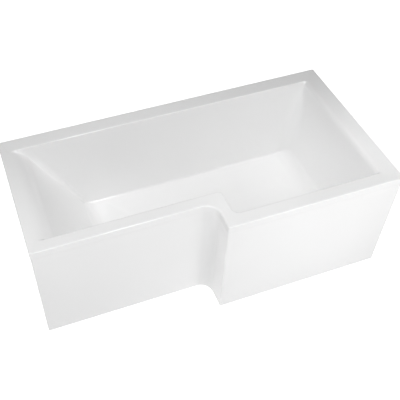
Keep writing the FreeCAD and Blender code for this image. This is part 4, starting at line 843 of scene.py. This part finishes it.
class Finish:
    """A node material with its shader, its texture place and helpers that add linked nodes."""
    def __init__(self, name, **sockets):
        self.material = bpy.data.materials.new(name)
        self.material.use_nodes = True
        self.tree = self.material.node_tree
        self.shader = self.tree.nodes["Principled BSDF"]
        self.place = self.tree.nodes.new("ShaderNodeTexCoord").outputs["Object"]
        for socket, value in sockets.items():
            self.shader.inputs[socket].default_value = value

    def node(self, kind, inputs, **properties):
        return add_node(self.tree, kind, inputs, **properties)

    def stretched(self, x, y, z, turn=(0, 0, 0)):
        """Texture place turned, then packed closer along each axis."""
        inputs = {"Vector": self.place, "Scale": (1 / x, 1 / y, 1 / z), "Rotation": turn}
        return self.node("ShaderNodeMapping", inputs, vector_type="TEXTURE").outputs["Vector"]

    def noise(self, scale, detail=3.0, roughness=0.5, place=None):
        inputs = {"Vector": place or self.place, "Scale": scale, "Detail": detail, "Roughness": roughness}
        return self.node("ShaderNodeTexNoise", inputs).outputs["Fac"]

    def cells(self, scale, channel, place=None):
        """A number for each cell of a pattern of cells."""
        cells = self.node("ShaderNodeTexVoronoi", {"Vector": place or self.place, "Scale": scale})
        return self.node("ShaderNodeSeparateColor", {"Color": cells.outputs["Color"]}).outputs[channel]

    def joined(self, first, second, operation):
        return self.node("ShaderNodeMath", {0: first, 1: second}, operation=operation).outputs["Value"]

    def tones(self, factor, base, *stops):
        """Base colour: at each stop along a factor, the finish's colour made darker or lighter."""
        made = self.node("ShaderNodeValToRGB", {"Fac": factor})
        elements = made.color_ramp.elements
        while len(elements) < len(stops):
            elements.new(0.5)
        for element, (place, tint) in zip(elements, stops):
            element.position = place
            element.color = (*(min(max(part * tint, 0), 1) for part in base), 1)
        self.tree.links.new(made.outputs["Color"], self.shader.inputs["Base Color"])

    def roughness(self, factor, low, high):
        made = self.node("ShaderNodeMapRange", {"Value": factor, "To Min": low, "To Max": high})
        self.tree.links.new(made.outputs["Result"], self.shader.inputs["Roughness"])

    def bump(self, height, strength, distance):
        made = self.node("ShaderNodeBump", {"Height": height, "Strength": strength, "Distance": distance})
        self.tree.links.new(made.outputs["Normal"], self.shader.inputs["Normal"])


def gloss_acrylic(name):
    """Cast acrylic: almost even white, with a faint drift of tone, slight waviness and a polished surface."""
    made = Finish(name, IOR=1.49)
    made.tones(made.noise(2.2, 2.0), settings().finish.acrylic, (0.25, 0.985), (0.75, 1.012))
    made.roughness(made.noise(9.0), 0.09, 0.16)
    made.bump(made.noise(14.0, 2.0), 0.03, 0.002)
    return made.material


def glass_fibre():
    """Sprayed reinforcement: short strands that lie all ways in resin, over a lumpy coat."""
    made = Finish("glass fibre reinforcement")
    first, second, third = (made.noise(40.0, 2.0, place=made.stretched(1, 8, 8, turn))
                            for turn in ((0.3, 0.2, 0.4), (0.1, 1.2, 1.9), (0.7, 0.6, 2.8)))
    strands = made.joined(made.joined(first, second, "MAXIMUM"), third, "MAXIMUM")
    made.tones(strands, settings().finish.fibre, (0.45, 0.8), (0.6, 1), (0.75, 1.25))
    made.roughness(strands, 0.55, 0.35)
    made.bump(made.joined(strands, made.noise(18.0), "ADD"), 0.5, 0.003)
    return made.material


def sawn_timber(name, along):
    """Sawn softwood: long growth lines along one axis, pale and dark wood between them, and saw roughness."""
    made = Finish(name)
    stretch = [14.0, 14.0, 14.0]
    stretch[along] = 0.6
    lines = made.noise(6.0, 5.0, 0.6, made.stretched(*stretch))
    fibres = made.noise(60.0, 3.0, 0.6, made.stretched(*[part / 6 for part in stretch]))
    made.tones(lines, settings().finish.timber, (0.3, 0.72), (0.48, 1), (0.56, 0.85), (0.75, 1.18))
    made.roughness(lines, 0.65, 0.85)
    made.bump(fibres, 0.5, 0.0008)
    return made.material


def chipboard():
    """Pressed wood chips: flat flakes of several browns."""
    made = Finish("chipboard")
    flakes = made.cells(220.0, "Red", made.stretched(1, 1, 3))
    made.tones(flakes, settings().finish.board, (0.1, 0.62), (0.5, 1), (0.9, 1.3))
    made.roughness(flakes, 0.75, 0.9)
    made.bump(flakes, 0.35, 0.0006)
    return made.material


def zinc_steel(name):
    """Zinc-plated steel: spangle of slightly different greys under a soft shine."""
    made = Finish(name, Metallic=1.0)
    made.tones(made.cells(120.0, "Green"), settings().finish.zinc, (0.0, 0.86), (1.0, 1.1))
    made.roughness(made.noise(90.0, 4.0), 0.28, 0.46)
    made.bump(made.noise(300.0, 2.0), 0.12, 0.0003)
    return made.material


def polished_metal(name, base, low, high):
    """Turned and polished metal: nearly mirror-like, with faint smears."""
    made = Finish(name, Metallic=1.0)
    smears = made.noise(40.0)
    made.tones(smears, base, (0.3, 0.97), (0.7, 1.02))
    made.roughness(smears, low, high)
    made.bump(made.noise(500.0, 2.0), 0.02, 0.0001)
    return made.material


def moulded(name, base, low, high, grain):
    """Moulded plastic or rubber: fine even grain and a slight drift of tone."""
    made = Finish(name)
    made.tones(made.noise(25.0), base, (0.3, 0.93), (0.7, 1.05))
    made.roughness(made.noise(120.0), low, high)
    made.bump(made.noise(grain, 2.0), 0.1, 0.0003)
    return made.material


# Studio
def light_seen(tree, camera, glow, gleam):
    """A strength that differs for the camera, for soft light and for reflections."""
    rays = tree.nodes.new("ShaderNodeLightPath")
    total = 0
    for output, value in (("Is Camera Ray", camera), ("Is Diffuse Ray", glow), ("Is Glossy Ray", gleam)):
        inputs = {0: rays.outputs[output], 1: value, 2: total}
        total = add_node(tree, "ShaderNodeMath", inputs, operation="MULTIPLY_ADD").outputs["Value"]
    return total


def pale_floor():
    """A dull floor that shines: its own colour is dark, so that hardly any shade shows on it."""
    stage = settings().stage
    pale = bpy.data.materials.new("pale floor")
    pale.use_nodes = True
    shader = pale.node_tree.nodes["Principled BSDF"]
    sockets = {"Base Color": (0.1, 0.1, 0.1, 1), "Roughness": 1.0, "Specular IOR Level": 0.0,
               "Emission Color": WHITE}
    for socket, value in sockets.items():
        shader.inputs[socket].default_value = value
    glow = light_seen(pale.node_tree, FLOOR_SEEN, stage.floor_glow, stage.floor_gleam)
    pale.node_tree.links.new(glow, shader.inputs["Emission Strength"])
    pale.cycles.emission_sampling = "NONE"
    return pale


def white_room():
    """A white room, seen by the camera and faintly in reflections."""
    stage = settings().stage
    world = bpy.data.worlds.new("studio")
    world.use_nodes = True
    room = world.node_tree.nodes["Background"]
    room.inputs["Color"].default_value = WHITE
    glow = light_seen(world.node_tree, ROOM_SEEN, stage.room_glow, stage.room_gleam)
    world.node_tree.links.new(glow, room.inputs["Strength"])
    world.cycles.sampling_method = "NONE"
    return world


def softbox(name, place, target, size, spread, power):
    """A square area light that faces a point, with a grid that limits its spread."""
    light = bpy.data.lights.new(name, "AREA")
    light.size = size
    light.spread = math.radians(spread)
    light.energy = power
    box = bpy.data.objects.new(name, light)
    box.location = place
    away = np.array(place) - np.array(target)
    flat = math.hypot(away[0], away[1])
    box.rotation_euler = (math.atan2(flat, away[2]), 0, math.atan2(away[1], away[0]) + math.pi / 2)
    bpy.context.scene.collection.objects.link(box)


# Operators, one for each piece or group of like pieces
class SHOWERBATH_OT_shell(bpy.types.Operator):
    """Make the moulded bath"""
    bl_idname = "shower_bath.shell"
    bl_label = "Bath shell"

    def execute(self, context):
        piece("moulded_bath", [shell_surface()], [gloss_acrylic("bath acrylic"), glass_fibre()],
              "bath", "bath_shell", sharp=40)
        return {"FINISHED"}


class SHOWERBATH_OT_panel(bpy.types.Operator):
    """Make the front panel"""
    bl_idname = "shower_bath.panel"
    bl_label = "Front panel"

    def execute(self, context):
        piece("formed_panel", panel_surfaces(), [gloss_acrylic("panel acrylic")],
              "bath", "front_panel")
        return {"FINISHED"}


class SHOWERBATH_OT_timber(bpy.types.Operator):
    """Finish the battens and the board"""
    bl_idname = "shower_bath.timber"
    bl_label = "Timber"

    def execute(self, context):
        refinish(sawn_timber("sawn timber along", 0),
                 "rim_batten_back", "rim_batten_front_narrow", "rim_batten_front_wide")
        refinish(sawn_timber("sawn timber across", 1),
                 "rim_batten_left", "rim_batten_right", "rim_batten_step")
        refinish(chipboard(), "base_board")
        return {"FINISHED"}


class SHOWERBATH_OT_steelwork(bpy.types.Operator):
    """Finish the channels, brackets, stays and screws"""
    bl_idname = "shower_bath.steelwork"
    bl_label = "Steelwork"

    def execute(self, context):
        refinish(zinc_steel("zinc plated sheet"), "cradle_left", "cradle_right", "cradle_screws",
                 "centre_leg_bracket", "centre_bracket_screws", "wall_brackets", "wall_bracket_screws",
                 "panel_stays", "panel_stay_screws")
        return {"FINISHED"}


class SHOWERBATH_OT_legs(bpy.types.Operator):
    """Make the threaded rods, their lock nuts and the feet"""
    bl_idname = "shower_bath.legs"
    bl_label = "Levelling legs"

    def execute(self, context):
        legs = settings().legs
        steel = zinc_steel("zinc plated rod")
        black = moulded("black moulded plastic", settings().finish.black_plastic, *BLACK_PLASTIC)
        nut = hexagon_nut(legs.nut_across, legs.nut_height, legs.nut_hole)
        foot = turned(FOOT, FOOT_SOFT, open_ends=True)
        nuts = []
        for leg in LEGS:
            node = "leg_rod_" + leg
            low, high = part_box(node)
            axis = np.append(plan_centre(node), 0)
            piece("threaded_rod_" + leg, [threaded_rod(low.z, high.z).at(axis)], [steel],
                  "rod_" + leg, node)
            piece("moulded_foot_" + leg, [foot.at(axis)], [black],
                  "foot_" + leg, "foot_" + leg)
            base = CENTRE_NUT_BASE if leg == "centre" else NUT_BASE
            nuts += [nut.at(axis + (0, 0, base)), nut.at(axis + (0, 0, base + legs.nut_gap))]
        piece("lock_nuts", nuts, [steel], "bath", "leg_lock_nuts")
        return {"FINISHED"}


class SHOWERBATH_OT_waste(bpy.types.Operator):
    """Make the waste and its plug"""
    bl_idname = "shower_bath.waste"
    bl_label = "Waste and plug"

    def execute(self, context):
        finish, fittings = settings().finish, settings().fittings
        chrome = polished_metal("polished chrome", finish.chrome, *CHROME)
        brass = polished_metal("turned brass", finish.brass, *BRASS)
        rubber = moulded("black rubber", finish.rubber, *RUBBER)
        white = moulded("white moulded plastic", finish.white_plastic, *WHITE_PLASTIC)
        plug, post = turned(PLUG, PLUG_SOFT, open_ends=True), turned(POST, POST_SOFT, open_ends=True)
        drum = turned_ring(*DRUM)
        socket = turned_ring(*SOCKET).at((0, 0, SOCKET_HEIGHT), FORWARDS)
        nut = hexagon_nut(fittings.back_nut_across, BACK_NUT_HEIGHT, fittings.back_nut_hole)
        pieces = (
            ("dished_flange", waste_flange(), chrome, "bath", "chrome", "waste_flange"),
            ("domed_plug", [plug], chrome, "plug", "chrome", "plug_cap"),
            ("plug_ring", [turned_ring(*PLUG_RING)], rubber, "plug", "rubber", "plug_seal"),
            ("guide_post", [post], brass, "bath", "brass", "plug_cartridge"),
            ("seat_washer", [turned_ring(*SEAT_WASHER)], rubber, "bath", "rubber", "waste_upper_seal"),
            ("body_washer", [turned_ring(*BODY_WASHER)], rubber, "bath", "rubber", "waste_lower_seal"),
            ("overflow_body", [drum, socket], white, "bath", "white_plastic", "overflow_banjo"),
            ("tail_nut", [nut.at((0, 0, BACK_NUT_BASE))], white, "bath", "white_plastic", "waste_back_nut"))
        axis = np.append(plan_centre("waste_flange"), 0)
        for name, surfaces, look, body, slot, node in pieces:
            piece(name, [part.at(axis) for part in surfaces], [look], body, node)
        return {"FINISHED"}


class SHOWERBATH_OT_overflow(bpy.types.Operator):
    """Make the overflow's cover, screw, pipe and nuts"""
    bl_idname = "shower_bath.overflow"
    bl_label = "Overflow"

    def execute(self, context):
        finish, fittings = settings().finish, settings().fittings
        chrome = polished_metal("overflow chrome", finish.chrome, *CHROME)
        white = moulded("overflow plastic", finish.white_plastic, *WHITE_PLASTIC)
        place, inwards = cover_place()
        low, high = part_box("overflow_pipe_nuts")
        x, radius = (low.x + high.x) / 2, fittings.pipe_nut_radius
        nuts = [pipe_nut().at((x, low.y + radius, high.z), DOWNWARDS),
                pipe_nut().at((x, high.y, low.z + radius), FORWARDS)]
        pipe = tube(overflow_path(), fittings.pipe_radius, fittings.pipe_bore)
        pieces = (
            ("bevelled_cover", [overflow_cover().at(place, inwards)], chrome, "chrome", "overflow_faceplate"),
            ("cover_screw", [cross_screw().at(place, inwards)], chrome, "chrome", "overflow_screw"),
            ("bent_pipe", [pipe], white, "white_plastic", "overflow_pipe"),
            ("pipe_end_nuts", nuts, white, "white_plastic", "overflow_pipe_nuts"))
        for name, surfaces, look, slot, node in pieces:
            piece(name, surfaces, [look], "bath", node)
        refinish(white, "overflow_elbow", "panel_clips")
        refinish(moulded("overflow rubber", finish.rubber, *RUBBER), "overflow_seal")
        return {"FINISHED"}


class SHOWERBATH_OT_stage(bpy.types.Operator):
    """Make the floor, the lights and the camera"""
    bl_idname = "shower_bath.stage"
    bl_label = "Stage"

    def execute(self, context):
        stage = settings().stage
        scene = context.scene
        scene.view_settings.view_transform = "Standard"
        scene.view_settings.look = "None"
        corners = [(x * FLOOR_REACH, y * FLOOR_REACH, -stage.floor_drop)
                   for x, y in ((-1, -1), (1, -1), (1, 1), (-1, 1))]
        mesh = bpy.data.meshes.new("studio_floor")
        mesh.from_pydata(corners, [], [(0, 1, 2, 3)])
        mesh.materials.append(pale_floor())
        floor = bpy.data.objects.new("studio_floor", mesh)
        scene.collection.objects.link(floor)
        scene.world = white_room()
        for light in LIGHTS:
            softbox(*light)
        lens = bpy.data.cameras.new("camera")
        lens.lens = stage.camera_lens
        lens.sensor_width = SENSOR_WIDTH
        lens.shift_x, lens.shift_y = stage.camera_shift
        camera = bpy.data.objects.new("camera", lens)
        camera.location = stage.camera_place
        camera.rotation_euler = stage.camera_turn
        scene.collection.objects.link(camera)
        scene.camera = camera
        return {"FINISHED"}


class SHOWERBATH_PT_pieces(bpy.types.Panel):
    """Lists the bath's pieces"""
    bl_idname = "SHOWERBATH_PT_pieces"
    bl_label = "Shower bath"
    bl_space_type = "VIEW_3D"
    bl_region_type = "UI"
    bl_category = "Shower bath"

    def draw(self, context):
        for operator in OPERATORS:
            self.layout.operator(operator.bl_idname)


GROUPS = (ShowerBathShell, ShowerBathPanel, ShowerBathLegs, ShowerBathFittings, ShowerBathFinish,
          ShowerBathStage, ShowerBathSettings)
OPERATORS = (SHOWERBATH_OT_shell, SHOWERBATH_OT_panel, SHOWERBATH_OT_timber, SHOWERBATH_OT_steelwork,
             SHOWERBATH_OT_legs, SHOWERBATH_OT_waste, SHOWERBATH_OT_overflow, SHOWERBATH_OT_stage)
CLASSES = GROUPS + OPERATORS + (SHOWERBATH_PT_pieces,)


def register():
    for made in CLASSES:
        bpy.utils.register_class(made)
    bpy.types.Scene.shower_bath = bpy.props.PointerProperty(
        name="Shower bath", description="Sizes, colours and stage", type=ShowerBathSettings)


def unregister():
    del bpy.types.Scene.shower_bath
    for made in reversed(CLASSES):
        bpy.utils.unregister_class(made)


def main():
    register()
    bpy.ops.shower_bath.shell()
    bpy.ops.shower_bath.panel()
    bpy.ops.shower_bath.timber()
    bpy.ops.shower_bath.steelwork()
    bpy.ops.shower_bath.legs()
    bpy.ops.shower_bath.waste()
    bpy.ops.shower_bath.overflow()
    bpy.ops.shower_bath.stage()


if __name__ == "__main__":
    main()
